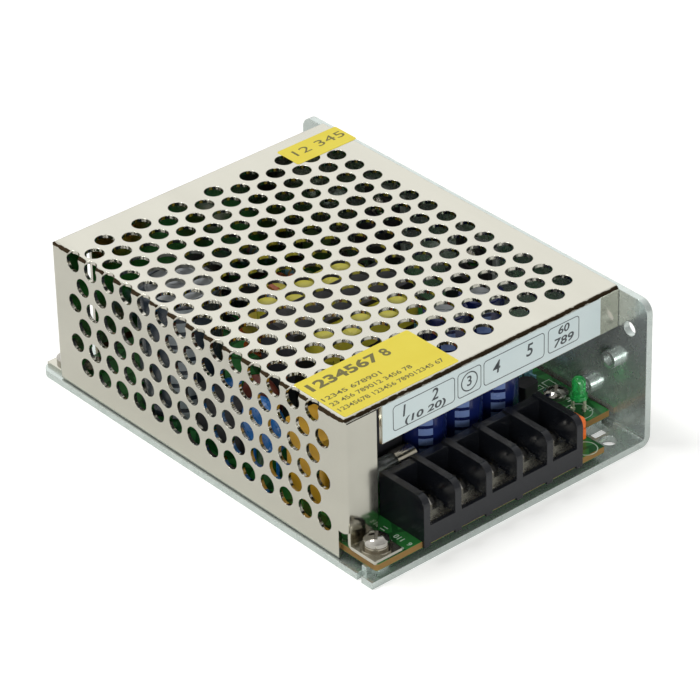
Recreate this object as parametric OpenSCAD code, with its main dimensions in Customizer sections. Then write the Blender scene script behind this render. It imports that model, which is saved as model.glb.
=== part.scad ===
// Mesh case switching power supply, 110 x 78 x 36 mm.
// A folded aluminium base with one side wall carries the circuit board; a
// folded and perforated steel cover closes the top, the left side and the back.
// Origin: centre of the footprint, on the underside of the base.
// +X points to the aluminium wall, -Y to the terminals, +Z up.

/* [Case] */
// Overall width, from the edge of the base to the outside of the wall
case_w = 78; // [76:0.5:90]
// Overall length of the base
case_l = 110; // [108:1:130]
// Overall height, to the top of the cover
case_h = 36; // [35:0.5:42]
// Thickness of the aluminium base and wall
base_t = 1.6; // [1.4:0.1:2]
// How far the wall stays below the top of the cover
wall_drop = 0.8; // [0.2:0.1:2]
// Outer radius of the bend between base and wall
bend_r = 2.4; // [2:0.1:3]
// Corner radius of the free ends of the wall and of the base
corner_r = 3; // [1:0.5:4]
// Radius of the clearance holes that fix the base
base_hole_r = 1.8; // [1.5:0.1:2.2]
// Distance of those holes from the ends of the base
base_hole_end = 5; // [4:0.5:6]

/* [Cover] */
// Thickness of the plated steel sheet
sheet_t = 0.8; // [0.6:0.1:1]
// Outer radius of the folds of the cover
fold_r = 1.1; // [1:0.1:1.4]
// Width of the base that shows beside the cover
ledge = 0.6; // [0.4:0.1:1]
// Length of the base that stands out in front of the cover
front_out = 8.4; // [8:0.1:10]
// Length of the base that stands out behind the cover
rear_out = 6.3; // [6:0.1:8]
// Height of the label flange above the terminals
flange_h = 9.8; // [8:0.1:11]
// Width of the corner flange beside the label flange
corner_flange_w = 8.7; // [8:0.1:9.5]
// Diameter of a vent hole
vent_d = 4.3; // [3.5:0.1:4.5]
// Spacing of the vent columns across the sheet
vent_across = 5; // [4.8:0.1:5.4]
// Spacing of the vent holes along a column
vent_along = 6; // [5.8:0.1:6.4]
// Distance of the first vent from the front fold
vent_start = 6.7; // [6:0.1:9]

/* [Circuit board] */
// Thickness of the board
board_t = 1.6; // [1.2:0.1:1.8]
// Height of the underside of the board above the base
board_lift = 1.5; // [1.2:0.1:2]

/* [Terminal block] */
// Number of poles
poles = 5; // [3:1:5]
// Distance from pole to pole
pole_pitch = 8.5; // [8:0.1:9]
// Thickness of the barriers between the poles
barrier_t = 1.7; // [1.4:0.1:2]
// Height of the barriers above the board
barrier_h = 10.7; // [10:0.1:13]
// Depth of the block, front to back
block_d = 13.6; // [13:0.1:14.5]
// Thread radius of the terminal screws
screw_r = 1.5; // [1.4:0.05:1.6]
// How far a terminal screw and its clamp plate lift
clamp_travel = 2.5; // [1.5:0.1:2.6]

/* [Adjuster and lamp] */
// Radius of the adjuster
trimmer_r = 3; // [2.8:0.1:3.2]
// Radius of the lamp
lamp_r = 1.5; // [1.2:0.1:1.6]
// Height of the lamp's rim above the board
lamp_lift = 3.6; // [2:0.1:5]

/* [Transformer] */
// Width of the ferrite core
core_w = 33; // [30:0.5:34]
// Thickness of the ferrite core, front to back
core_d = 11; // [10:0.5:12]
// Height of the ferrite core
core_h = 22.5; // [21:0.5:25]
// Build of the winding in front of and behind the core
coil_build = 7; // [5:0.5:7.5]

/* [Capacitors] */
// Radius of the mains reservoir capacitor
bulk_r = 9; // [8:0.5:9.5]
// Height of the mains reservoir capacitor
bulk_h = 28.5; // [25:0.5:29]
// Radius of the output capacitors
can_r = 4.9; // [4:0.1:5]
// Height of the two tall output capacitors
tall_can_h = 25; // [20:0.5:27]
// Height of the three short output capacitors
short_can_h = 16; // [12:0.5:20]

/* [Hidden] */
$fn = 64;
small = 32;
// cuts run this far past a face
over = 1;
// running clearance of pins and threads
run = 0.05;
// loose clearance of parts that are only laid in
loose = 0.1;

// case
half_w = case_w / 2;
half_l = case_l / 2;
wall_in = half_w - base_t;
wall_top = case_h - wall_drop;
bend_in = 0.5;

// cover
cover_left = -half_w + ledge;
cover_right = wall_in - loose;
cover_front = -half_l + front_out;
cover_back = half_l - rear_out;
cover_low = base_t + 0.3;
cover_w = cover_right - cover_left;
cover_len = cover_back - cover_front;
roof = case_h - sheet_t;
flange_low = case_h - flange_h;
slit_w = 1.3;
slit_left = cover_left + corner_flange_w;
slit_right = slit_left + slit_w;
relief_h = 7;
relief_w = 2.4;
foot_inset = 1.1;
foot_left = cover_left + foot_inset;
foot_w = 7.4;
foot_x = foot_left + foot_w / 2;
foot_screw_r = 1.5;
foot_hole_r = foot_screw_r + 0.2;
front_foot_l = 7.4;
rear_foot_l = rear_out - 0.6;
// top columns start here and their holes are staggered by half a spacing
vent_r = vent_d / 2;
vent_first = 3.7;
vent_columns = floor((cover_w - vent_first - 5) / vent_across) + 1;
vent_rows = floor((cover_len - vent_start - vent_d - fold_r) / vent_along + 0.5);
// the row on the fold, and the rows below it on the side
fold_row = 2.1;
side_first = fold_row + vent_across;
side_rows = floor((case_h - cover_low - side_first - vent_d) / vent_across) + 1;

// labels
print_t = 0.1;
label_l = slit_right + 0.2;
label_w = cover_right - 5.3 - label_l;
label_low = flange_low + 0.2;
label_h = flange_h - fold_r + 0.1;
front_sticker_size = [30.6, 16];
rear_sticker_size = [17, 7.4];

// board
board_low = base_t + board_lift;
board_top = board_low + board_t;
board_left = cover_left + sheet_t + 0.5;
board_right = wall_in - 0.7;
board_front = -half_l + 0.8;
board_back = cover_back - sheet_t - 1.2;
step_x = board_right - 10.4;
step_y = board_front + 9.3;
board_corner_r = 0.8;
film_t = 0.3;

// fixing screws of the board and of the cover
boss_r = 2.8;
core_r = 1.25;
m3_head_r = 2.7;
m3_head_h = 2;
m3_fit_r = 1.7;
foot_y = board_front + 3.9;
rear_foot_y = cover_back + rear_foot_l / 2 + 0.15;
washer_t = 0.5;
spring_t = 0.8;
screw_short = 0.2;
board_screws = [[board_left + 4.2, board_back - 4.4],
                [board_right - 4.4, board_back - 4.4],
                [board_right - 4.4, board_front + 21]];

// lanced tongues that carry and locate the board
tongue_x = board_right - 4;
tongue_w = 4.8;
tongue_y = step_y + 0.6;
window_l = 3.2;
notch_w = 1.4;
notch_y = -half_l + 4;

// tapped collars in the wall: [y, z]
collar_r = 2.05;
collar_l = 1.8;
wall_hole_r = 1.7;
collars = [[cover_front + 1.1, case_h / 2],
           [cover_front + 8, case_h / 2 - 9.6],
           [-cover_front - 1.1, case_h / 2]];
wall_hole = [-half_l + 5.1, case_h - 9];

// terminal block
block_left = board_left + 12.25;
// the adjuster, its gap and a margin stay free between the block and the step
block_room = step_x - 2 * trimmer_r - 0.95 - block_left;
pole_count = min(poles, floor((block_room - barrier_t) / pole_pitch));
block_w = pole_count * pole_pitch + barrier_t;
block_front = -half_l;
block_back = block_front + block_d;
block_top = board_top + barrier_h;
floor_z = board_top + 2.9;
lip_t = 0.9;
lip_h = 0.7;
back_t = 2;
skirt_t = board_front - block_front - 0.2;
contact_t = 0.8;
contact_top = floor_z + contact_t;
clamp_t = 0.8;
clamp_top = contact_top + clamp_t;
bay_w = pole_pitch - barrier_t;
contact_w = bay_w - 2 * loose;
contact_front = block_front + lip_t + loose;
contact_back = block_back - back_t - loose;
pole_y = (contact_front + contact_back) / 2;
clamp_w = contact_w - 0.4;
clamp_d = 6.8;
screw_head_r = 2.9;
screw_head_h = 2.1;
shank_r = screw_r - run;
// the thread still holds in the contact when the screw is lifted
shank_l = clamp_t + clamp_travel + 0.6;
tail_w = 1;
tail_y = contact_back - 1.2;
function pole_x(i) = block_left + barrier_t / 2 + (i + 0.5) * pole_pitch;

// adjuster and lamp
trimmer_x = block_left + block_w + 0.6 + trimmer_r;
trimmer_y = board_front + 5.2;
trimmer_z = board_top + 0.3 + trimmer_r;
trimmer_t = 2;
pocket_t = 1;
rotor_r = trimmer_r - 1.1;
spindle_r = 0.9;
lamp_x = board_right - 5.2;
lamp_y = board_front + 13.2;
lamp_rim_r = lamp_r + 0.4;
lamp_rim_t = 0.9;
lamp_h = 3.8;
lead_r = 0.3;

// transformer
core_x = (cover_left + cover_right) / 2 - 3.45;
core_y = board_front + 49.5;
limb = 5.2;
coil_w = core_w - 2 * limb - 1.2;
coil_d = core_d + 2 * coil_build;
core_low = board_top + 4.2;
coil_wide = core_w - 6;
bobbin_t = 1;
centre_limb_w = 10;
sleeve_w = centre_limb_w + 1.6;
sleeve_d = core_d + 1.6;
pin_rail_w = 4;
pin_rail_y = core_d / 2 + 3.4;

// mains filter choke
choke_d = 14;
choke_gap = 7.4;
choke_h = 17;
choke_limb = 4;
choke_w = 12;
choke_lift = 1.5;
choke_wire = 1;
choke_x = board_left + 19.9;
choke_y = board_front + 28.2;

// fuse in its clips
fuse_r = 2.6;
fuse_l = 20;
fuse_cap_l = 5;
fuse_cap_t = 0.6;
fuse_clip_t = 0.4;
fuse_clip_w = 4;
fuse_right = block_left + 13;
fuse_y = block_back + 5;
fuse_z = board_top + 6.6;

// discs, box and bridge behind the fuse
disc_t = 4;
varistor_r = 6.4;
varistor_at = [board_left + 4.6, board_front + 39.7];
thermistor_r = 5.5;
thermistor_at = [board_left + 9.8, board_front + 46.7];
safety_r = 3.6;
safety_t = 3;
mains_cap = [8, 12, 17.5];
mains_cap_at = [board_left + 8.4, board_front + 27];
bridge = [4.4, 14, 10];
bridge_at = [board_left + 5.4, board_front + 53.7];
bridge_lift = 3;

// electrolytic capacitors
bulk_at = [board_left + 10.6, board_front + 65.5 + bulk_r];
can_pitch = 2 * can_r + 0.3;
// the short row starts beside the choke, and has as many as the board leaves room for
short_first = choke_x + choke_w / 2 + can_r + 0.3;
reference_at = [board_right - 13, board_front + 21];
reference_r = 2.4;
short_room = reference_at[0] - reference_r - 0.5 - can_r - short_first;
short_count = min(3, floor(short_room / can_pitch) + 1);
short_cans = [for (i = [0 : short_count - 1]) [short_first + i * can_pitch, board_front + 20.4]];
// the tall pair stands in the corner between the transformer and the wall
tall_last = board_right - 10 - can_r;
tall_room = tall_last - can_r - (core_x + coil_wide / 2 - 3);
tall_count = min(2, floor(tall_room / can_pitch) + 1);
tall_cans = [for (i = [0 : tall_count - 1]) [tall_last - i * can_pitch, board_front + 33]];
safety_at = [[board_left + 13.2, bulk_at[1] - bulk_r - safety_r - 0.9],
             [core_x + 15, core_y + coil_d / 2 + safety_r + 0.6]];

// semiconductors on the wall: y of each
wall_parts = [board_back - 19.7, board_back - 49.7];
pad_t = 0.4;
tab_t = 1.3;
tab_w = 10.2;
tab_h = 15.5;
pack_h = 9;
pack_t = 4.5;
tab_low = board_top + 7;
tab_hole_z = tab_low + tab_h - 2.8;
part_leg = 0.7;
leg_pitch = 2.54;
wall_screw_r = 1.45;

// ring choke behind the transformer, its axis along Y
ring_at = [core_x + 3.4, core_y + 22.6];
ring_outer = 8.5;
ring_inner = 4.6;
ring_t = 6.5;
ring_z = board_top + 9.7;

// small parts in rows along the back edge and beside the wall
rear_row = board_back - 6.7;
wall_row = board_right - 8.7;
resistor_l = 6;
resistor_span = 10;
chip_at = [board_left + 45.1, rear_row];
coupler_at = [wall_row - 6, board_back - 22.7];
rear_resistors = [for (x = [chip_at[0] + 6 : 4 : wall_row - 5.5]) [x, rear_row]];
resistor_places = concat(rear_resistors,
                         [[board_left + 27.1, rear_row], [board_left + 23.1, rear_row],
                          [wall_row, board_back - 34.7], [wall_row - 4, board_back - 34.7],
                          [board_right - 7, board_front + 33],
                          [board_right - 4, board_front + 33]]);
diode_places = [[board_left + 31.1, rear_row], [board_left + 37.1, rear_row],
                [wall_row - 3.8, board_back - 46.7]];
film_places = [[wall_row - 12, board_back - 19.7], [wall_row, rear_row]];
link_places = [[board_left + 20, rear_row], [wall_row, board_back - 24.7]];

// ---------- shared shapes ----------

// a rectangle with its four corners rounded by r
module round_square(w, d, r) {
    square([w - 2 * r, d], center = true);
    square([w, d - 2 * r], center = true);
    for (sx = [-1, 1], sy = [-1, 1])
        translate([sx * (w / 2 - r), sy * (d / 2 - r)]) circle(r);
}

// a block standing on z = 0 with rounded upright edges
module round_block(w, d, h, r) {
    linear_extrude(h) round_square(w, d, r);
}

// extrudes an outline drawn in Y and Z along X, from x = 0
module along_x(length) {
    rotate([90, 0, 90]) linear_extrude(length) children();
}

// extrudes an outline drawn in X and Z along Y, from y to y + length
module along_y(y, length) {
    translate([0, y + length, 0]) rotate([90, 0, 0]) linear_extrude(length) children();
}

// a ring lying flat on z = 0
module ring(outer, inner, h) {
    linear_extrude(h) difference() {
        circle(outer);
        circle(inner);
    }
}

// a pan head with a cross recess, its underside on z = 0
module pan_head(r, h) {
    crown = h * 0.55;
    slot_w = r * 0.26;
    slot_l = r * 1.15;
    difference() {
        rotate_extrude() {
            square([r, h - crown]);
            intersection() {
                translate([0, h - crown]) square([r, crown]);
                translate([0, h - dome_r(r, crown)]) circle(dome_r(r, crown), $fn = 128);
            }
        }
        for (a = [45, 135])
            translate([0, 0, h]) rotate(a) cube([slot_l, slot_w, h * 1.1], center = true);
    }
}
function dome_r(r, crown) = (r * r + crown * crown) / (2 * crown);

// a screw whose head stands on z = 0 and whose shank points down
module pan_screw(head_r, head_h, shank, length) {
    pan_head(head_r, head_h);
    translate([0, 0, -length]) cylinder(r = shank, h = length);
}

// a can with a rolled shoulder, standing on z = 0
module can(r, h) {
    groove = r * 0.07;
    rotate_extrude() difference() {
        union() {
            square([r - groove, h]);
            square([r, h - groove]);
            translate([r - groove, h - groove]) circle(groove, $fn = small);
        }
        translate([r + groove, 2.2]) circle(2 * groove, $fn = small);
        translate([0, h - 0.3]) square([r * 0.82, 1]);
    }
}

// an axial part lying along Y on the board, with its two bent leads
module axial(body_l, body_r, span, lift) {
    rotate([90, 0, 0]) translate([0, lift, -body_l / 2]) cylinder(r = body_r, h = body_l);
    for (s = [-1, 1]) {
        translate([0, s * (body_l + span) / 4, lift]) rotate([90, 0, 0])
            cylinder(r = lead_r, h = (span - body_l) / 2, center = true, $fn = small);
        translate([0, s * span / 2, 0]) cylinder(r = lead_r, h = lift + lead_r, $fn = small);
    }
}

// ---------- case ----------

module chassis_section() {
    difference() {
        union() {
            translate([-half_w, 0]) square([case_w - bend_r, base_t]);
            translate([wall_in, bend_r]) square([base_t, wall_top - bend_r]);
            translate([half_w - bend_r, bend_r]) intersection() {
                circle(bend_r);
                translate([0, -bend_r]) square(bend_r);
            }
            translate([wall_in - bend_in, base_t]) square(bend_in);
        }
        translate([wall_in - bend_in, base_t + bend_in]) circle(bend_in, $fn = small);
        translate([wall_in - bend_in - over, base_t + bend_in]) square([over, over]);
    }
}

// what is cut from a sheet corner so that radius r remains, corner at the origin
module corner_waste(r) {
    difference() {
        translate([-over, -over]) square(r + over);
        translate([r, r]) circle(r);
    }
}

module chassis_cuts() {
    // fixing holes of the base
    for (s = [-1, 1])
        translate([wall_in - 5.6, s * (half_l - base_hole_end), -over])
            cylinder(r = base_hole_r, h = base_t + 2 * over);
    // tapped core holes under the board screws and the feet of the cover
    for (p = concat(board_screws, [[foot_x, foot_y], [foot_x, rear_foot_y]]))
        translate([p[0], p[1], -over]) cylinder(r = core_r, h = board_low + 2 * over);
    // window left by the lanced tongue, and the notch of the small one
    translate([tongue_x - tongue_w / 2, tongue_y - window_l, -over])
        cube([tongue_w, window_l, base_t + 2 * over]);
    translate([-half_w - over, notch_y - notch_w / 2, -over])
        cube([notch_w + over, notch_w, base_t + 2 * over]);
    // tapped collars, plain hole and transistor screws in the wall
    for (p = collars)
        translate([wall_in - collar_l - over, p[0], p[1]]) rotate([0, 90, 0])
            cylinder(r = core_r, h = collar_l + base_t + 2 * over);
    translate([wall_in - over, wall_hole[0], wall_hole[1]]) rotate([0, 90, 0])
        cylinder(r = wall_hole_r, h = base_t + 2 * over);
    for (y = wall_parts)
        translate([wall_in - over, y, tab_hole_z]) rotate([0, 90, 0])
            cylinder(r = wall_screw_r + run, h = base_t + 2 * over);
    // rounded corners of the base and of the wall
    translate([-half_w, half_l, -over]) mirror([0, 1, 0])
        linear_extrude(base_t + 2 * over) corner_waste(corner_r);
    for (s = [-1, 1])
        translate([wall_in - over, s * half_l, wall_top]) rotate([90, 0, 90])
            linear_extrude(base_t + 2 * over)
                mirror([s > 0 ? 1 : 0, 0]) mirror([0, 1]) corner_waste(corner_r);
}

module chassis() {
    color([0.76, 0.80, 0.78]) difference() {
        union() {
            along_y(-half_l, case_l) chassis_section();
            for (p = concat(board_screws, [[foot_x, foot_y]]))
                translate([p[0], p[1], base_t / 2])
                    cylinder(r = boss_r, h = board_low - base_t / 2);
            translate([tongue_x - tongue_w / 2, tongue_y, base_t / 2])
                cube([tongue_w, base_t, board_low - base_t / 2]);
            translate([-half_w + notch_w, notch_y - notch_w / 2, base_t / 2])
                cube([base_t, notch_w, board_low - base_t / 2]);
            for (p = collars)
                translate([wall_in - collar_l, p[0], p[1]]) rotate([0, 90, 0])
                    cylinder(r = collar_r, h = collar_l + base_t / 2);
        }
        chassis_cuts();
    }
}

// the closed outer form of the cover, shrunk by inset on its folded sides
module cover_form(inset) {
    r = fold_r - inset;
    left = cover_left + inset;
    front = cover_front + inset;
    back = cover_back - inset;
    top = case_h - inset;
    right = cover_right + (inset > 0 ? over : 0);
    low = cover_low - (inset > 0 ? over : 0);
    intersection() {
        along_y(front, back - front) difference() {
            translate([left, low]) square([right - left, top - low]);
            translate([left, top]) mirror([0, 1]) corner_waste(r);
        }
        translate([left, 0, 0]) along_x(right - left) difference() {
            translate([front, low]) square([back - front, top - low]);
            translate([front, top]) mirror([0, 1]) corner_waste(r);
            translate([back, top]) mirror([0, 1]) mirror([1, 0]) corner_waste(r);
        }
        translate([0, 0, low]) linear_extrude(top - low) difference() {
            translate([left, front]) square([right - left, back - front]);
            translate([left, front]) corner_waste(r);
            translate([left, back]) mirror([0, 1]) corner_waste(r);
        }
    }
}

function vent_y(column, j) = cover_front + vent_start
    + (j + (column % 2 == 0 ? 0 : 0.5)) * vent_along;

module vent_holes() {
    for (i = [0 : vent_columns - 1], j = [0 : vent_rows - 1])
        translate([cover_left + vent_first + i * vent_across, vent_y(i, j), roof - over])
            cylinder(r = vent_r, h = sheet_t + 2 * over);
    for (i = [0 : side_rows - 1], j = [0 : vent_rows - 1])
        translate([cover_left - over, vent_y(i, j), case_h - side_first - i * vent_across])
            rotate([0, 90, 0]) cylinder(r = vent_r, h = sheet_t + 2 * over);
    // the row that runs over the fold
    for (j = [0 : vent_rows - 1]) {
        translate([cover_left - over, vent_y(1, j), case_h - fold_row])
            rotate([0, 90, 0]) cylinder(r = vent_r, h = fold_r + over);
        translate([cover_left - 0.5, vent_y(1, j), roof - over])
            cylinder(r = vent_r - 0.2, h = sheet_t + 2 * over);
    }
}

// one foot of the cover: a flange turned outwards at its lower end
module cover_foot(face, out, low, length, hole_y) {
    rise = 3;
    bend = 1.2;
    difference() {
        translate([foot_left, 0, 0]) along_x(foot_w) difference() {
            union() {
                translate([min(face, face - out * sheet_t), low])
                    square([sheet_t, rise]);
                translate([min(face - out * sheet_t, face + out * length), low])
                    square([length + sheet_t, sheet_t]);
            }
            translate([face - out * sheet_t, low])
                mirror([out < 0 ? 1 : 0, 0]) corner_waste(bend);
        }
        translate([foot_x, hole_y, low - over])
            cylinder(r = foot_hole_r, h = sheet_t + 2 * over);
    }
}

module cover() {
    color([0.83, 0.81, 0.74]) difference() {
        union() {
            difference() {
                cover_form(0);
                cover_form(sheet_t);
                vent_holes();
                // front: open below the label flange
                translate([slit_left, cover_front - over, cover_low - over])
                    cube([cover_w, sheet_t + 2 * over, flange_low - cover_low + over]);
                for (y = [cover_front, cover_back - sheet_t]) {
                    // slit between the two flanges, and the seam above the corner flange
                    translate([slit_left, y - over, cover_low - over])
                        cube([slit_w, sheet_t + 2 * over, roof - cover_low + over]);
                    translate([cover_left + sheet_t, y - over, roof - 0.25])
                        cube([corner_flange_w, sheet_t + 2 * over, 0.25]);
                }
                // relief below the corner flanges
                translate([cover_left - over, cover_front - over, cover_low - over])
                    cube([corner_flange_w + 2 * over, relief_w + over,
                          board_top + relief_h - cover_low - 2]);
                translate([cover_left + sheet_t, cover_back - sheet_t - over, cover_low - over])
                    cube([corner_flange_w, sheet_t + 2 * over, relief_h - 2]);
                // rounded lower corner of the left side
                translate([cover_left - over, cover_back, cover_low]) along_x(3 * over)
                    mirror([1, 0]) corner_waste(fold_r);
            }
            translate([foot_left, cover_front, board_top + 2])
                cube([foot_w, sheet_t, relief_h]);
            translate([foot_left, cover_back - sheet_t, base_t + 2])
                cube([foot_w, sheet_t, relief_h]);
            cover_foot(cover_front, -1, board_top, front_foot_l, foot_y);
            cover_foot(cover_back, 1, base_t, rear_foot_l, rear_foot_y);
        }
    }
}

// ---------- labels ----------

module label_strip() {
    color([0.78, 0.85, 0.88])
        translate([label_l, cover_front - print_t, label_low])
            cube([label_w, print_t, label_h]);
}

module front_sticker() {
    color([0.93, 0.85, 0.20]) translate([cover_left + 1.4, cover_front + 1.1, case_h])
        cube([front_sticker_size[0], front_sticker_size[1], print_t]);
}

module rear_sticker() {
    color([0.93, 0.85, 0.20]) translate([cover_right + 1 - rear_sticker_size[0], cover_back - 11.2, case_h])
        cube([rear_sticker_size[0], rear_sticker_size[1], print_t]);
}

// ---------- board and fixings ----------

// plan of the board: a stepped corner leaves the adjuster side open
module board_plan(inset) {
    difference() {
        translate([board_left + inset, board_front + inset])
            square([board_right - board_left - 2 * inset, board_back - board_front - 2 * inset]);
        translate([step_x - inset, board_front - over])
            square([case_w, step_y - board_front + over + inset]);
        translate([board_left + inset, board_front + inset]) corner_waste(board_corner_r);
    }
}

module circuit_board() {
    color([0.10, 0.36, 0.17]) translate([0, 0, board_low]) linear_extrude(board_t) difference() {
        board_plan(0);
        for (p = board_screws) translate(p) circle(m3_fit_r);
        translate([foot_x, foot_y]) circle(m3_fit_r);
    }
}

module insulating_film() {
    color([0.93, 0.94, 0.93]) translate([0, 0, base_t]) linear_extrude(film_t) difference() {
        translate([board_left + 2, step_y + 5])
            square([board_right - board_left - 4, board_back - step_y - 6]);
        for (p = board_screws) translate(p) circle(boss_r + 0.5);
        translate([foot_x, rear_foot_y]) circle(boss_r + 0.5);
    }
}

module board_fixing_screws() {
    color([0.75, 0.75, 0.73]) for (p = board_screws)
        translate([p[0], p[1], board_top])
            pan_screw(m3_head_r, m3_head_h, core_r - run, board_top - screw_short);
}

module ground_screw() {
    color([0.78, 0.77, 0.74]) translate([foot_x, foot_y, board_top + sheet_t + washer_t + spring_t])
        pan_screw(m3_head_r, m3_head_h, core_r - run,
                  board_top + sheet_t + washer_t + spring_t - screw_short);
}

module ground_washers() {
    color([0.72, 0.72, 0.70]) translate([foot_x, foot_y, board_top + sheet_t]) {
        ring(3.4, foot_hole_r, washer_t);
        translate([0, 0, washer_t]) difference() {
            ring(2.8, foot_hole_r, spring_t);
            translate([0, -0.2, -over]) cube([4, 0.4, spring_t + 2 * over]);
        }
    }
}

module rear_cover_screw() {
    color([0.78, 0.77, 0.74]) translate([foot_x, rear_foot_y, base_t + sheet_t])
        pan_screw(m3_head_r - 0.1, m3_head_h, core_r - run, base_t + sheet_t - screw_short);
}

// ---------- terminal block ----------

// side outline of a barrier, from its front face at y = 0
module barrier_outline() {
    h = block_top - board_top;
    r = 2.4;
    difference() {
        union() {
            square([block_d, h]);
            translate([0, 0.2 - board_t]) square([skirt_t, board_t + h - 0.2]);
        }
        translate([0, h]) mirror([0, 1]) corner_waste(r);
    }
}

module terminal_housing() {
    color([0.10, 0.10, 0.11]) difference() {
        union() {
            for (i = [0 : pole_count])
                translate([block_left + i * pole_pitch, block_front, board_top])
                    along_x(barrier_t) barrier_outline();
            // floor, front lip, back wall and the skirt in front of the board
            translate([block_left, block_front, board_top])
                cube([block_w, block_d, floor_z - board_top]);
            translate([block_left, block_front, board_top])
                cube([block_w, lip_t, floor_z + lip_h - board_top]);
            translate([block_left, block_back - back_t, board_top])
                cube([block_w, back_t, block_top - board_top - 0.4]);
            translate([block_left, block_front, board_low + 0.9])
                cube([block_w, skirt_t, board_t + 0.2]);
        }
        for (i = [0 : pole_count - 1]) {
            translate([pole_x(i), pole_y, board_top + 0.3])
                cylinder(r = screw_r + 0.4, h = floor_z);
            translate([pole_x(i) - tail_w / 2 - loose, tail_y - contact_t / 2 - loose,
                       board_top - over])
                cube([tail_w + 2 * loose, contact_t + 2 * loose, floor_z]);
        }
    }
}

module terminal_contacts() {
    color([0.80, 0.77, 0.66]) for (i = [0 : pole_count - 1]) {
        difference() {
            translate([pole_x(i) - contact_w / 2, contact_front, floor_z])
                cube([contact_w, contact_back - contact_front, contact_t]);
            translate([pole_x(i), pole_y, floor_z - over])
                cylinder(r = screw_r, h = contact_t + 2 * over);
        }
        translate([pole_x(i) - tail_w / 2, tail_y - contact_t / 2, board_top])
            cube([tail_w, contact_t, floor_z - board_top + contact_t / 2]);
    }
}

module clamp_plate(i) {
    if (i < pole_count) color([0.80, 0.79, 0.74]) translate([pole_x(i), pole_y, contact_top])
        linear_extrude(clamp_t) difference() {
            round_square(clamp_w, clamp_d, 0.5);
            circle(screw_r + 0.2);
        }
}

module terminal_screw(i) {
    if (i < pole_count)
        color([0.82, 0.80, 0.76]) translate([pole_x(i), pole_y, clamp_top])
            pan_screw(screw_head_r, screw_head_h, shank_r, shank_l);
}

// ---------- mains side ----------

module fuse_tube() {
    color([0.85, 0.90, 0.88, 0.5])
        translate([fuse_right - fuse_l + fuse_cap_t, fuse_y, fuse_z]) rotate([0, 90, 0])
            ring_tube(fuse_r - 0.2, fuse_r - 0.7, fuse_l - 2 * fuse_cap_t);
}

module ring_tube(outer, inner, length) {
    rotate_extrude() translate([inner, 0]) square([outer - inner, length]);
}

module fuse_caps() {
    color([0.80, 0.78, 0.72])
        for (x = [fuse_right - fuse_l, fuse_right - fuse_cap_l])
            translate([x, fuse_y, fuse_z]) rotate([0, 90, 0]) difference() {
                cylinder(r = fuse_r, h = fuse_cap_l);
                translate([0, 0, x < fuse_right - fuse_cap_l ? fuse_cap_t : -over])
                    cylinder(r = fuse_r - 0.2, h = fuse_cap_l - fuse_cap_t + over);
            }
}

module fuse_clips() {
    color([0.82, 0.80, 0.74])
        for (x = [fuse_right - fuse_l + 0.5, fuse_right - fuse_cap_l + 0.5])
            translate([x, fuse_y, 0]) along_x(fuse_clip_w) {
                difference() {
                    translate([0, fuse_z]) circle(fuse_r + fuse_clip_t);
                    translate([0, fuse_z]) circle(fuse_r);
                    translate([-fuse_r * 2, fuse_z + 1]) square(fuse_r * 4);
                }
                translate([-fuse_r, board_top]) square([2 * fuse_r, fuse_clip_t]);
                for (s = [-1, 1])
                    translate([s * (fuse_r - 0.6) - fuse_clip_t / 2, board_top])
                        square([fuse_clip_t, fuse_z - board_top - fuse_r * 0.72]);
            }
}

// a coated disc standing on two leads, its flat faces towards X
module disc_part(at, r, t, lift, gap) {
    translate([at[0], at[1], board_top + lift + r]) rotate([0, 90, 0]) rotate_extrude() {
        translate([0, -t / 2]) square([r - t / 2, t]);
        translate([r - t / 2, 0]) intersection() {
            circle(t / 2, $fn = small);
            translate([0, -t]) square([t, 2 * t]);
        }
    }
    for (s = [-1, 1]) translate([at[0], at[1] + s * gap / 2, board_top])
        cylinder(r = lead_r + 0.05, h = lift + r - sqrt(r * r - gap * gap / 4) + 0.6, $fn = small);
}

module inrush_thermistor() {
    color([0.35, 0.17, 0.13]) disc_part(thermistor_at, thermistor_r, disc_t, 7.5, 5);
}

module varistor() {
    color([0.08, 0.42, 0.72]) disc_part(varistor_at, varistor_r, disc_t, 6, 7.5);
}

module mains_filter_capacitor() {
    color([0.88, 0.68, 0.22]) translate([mains_cap_at[0], mains_cap_at[1], board_top])
        round_block(mains_cap[0], mains_cap[1], mains_cap[2], 0.6);
}

module line_choke_core() {
    color([0.17, 0.17, 0.18]) translate([choke_x, choke_y, board_top + choke_lift]) difference() {
        translate([-choke_w / 2, -choke_d / 2, 0]) cube([choke_w, choke_d, choke_h]);
        translate([-choke_w / 2 - over, -choke_gap / 2, choke_limb])
            cube([choke_w + 2 * over, choke_gap, choke_h - 2 * choke_limb]);
    }
}

// one bank of turns round the lower limb and one round the upper limb
module line_choke_windings() {
    bank_d = choke_gap - 4 * loose;
    bank_h = choke_limb + 2.4 * choke_wire;
    color([0.75, 0.42, 0.20]) for (up = [0, 1]) {
        z = board_top + choke_lift
            + (up == 1 ? choke_h - bank_h + choke_wire : -choke_wire);
        inner = up == 1 ? bank_h - choke_limb - choke_wire : choke_wire;
        translate([choke_x, choke_y, z]) difference() {
            translate([-choke_w / 2 - choke_wire, -bank_d / 2, 0])
                cube([choke_w + 2 * choke_wire, bank_d, bank_h]);
            translate([-choke_w / 2 - loose, -bank_d, inner - loose])
                cube([choke_w + 2 * loose, 2 * bank_d, choke_limb + 2 * loose]);
        }
    }
}

module safety_capacitors() {
    color([0.15, 0.40, 0.68])
        for (at = safety_at) disc_part(at, safety_r, safety_t, 2.5, 5);
}

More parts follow.
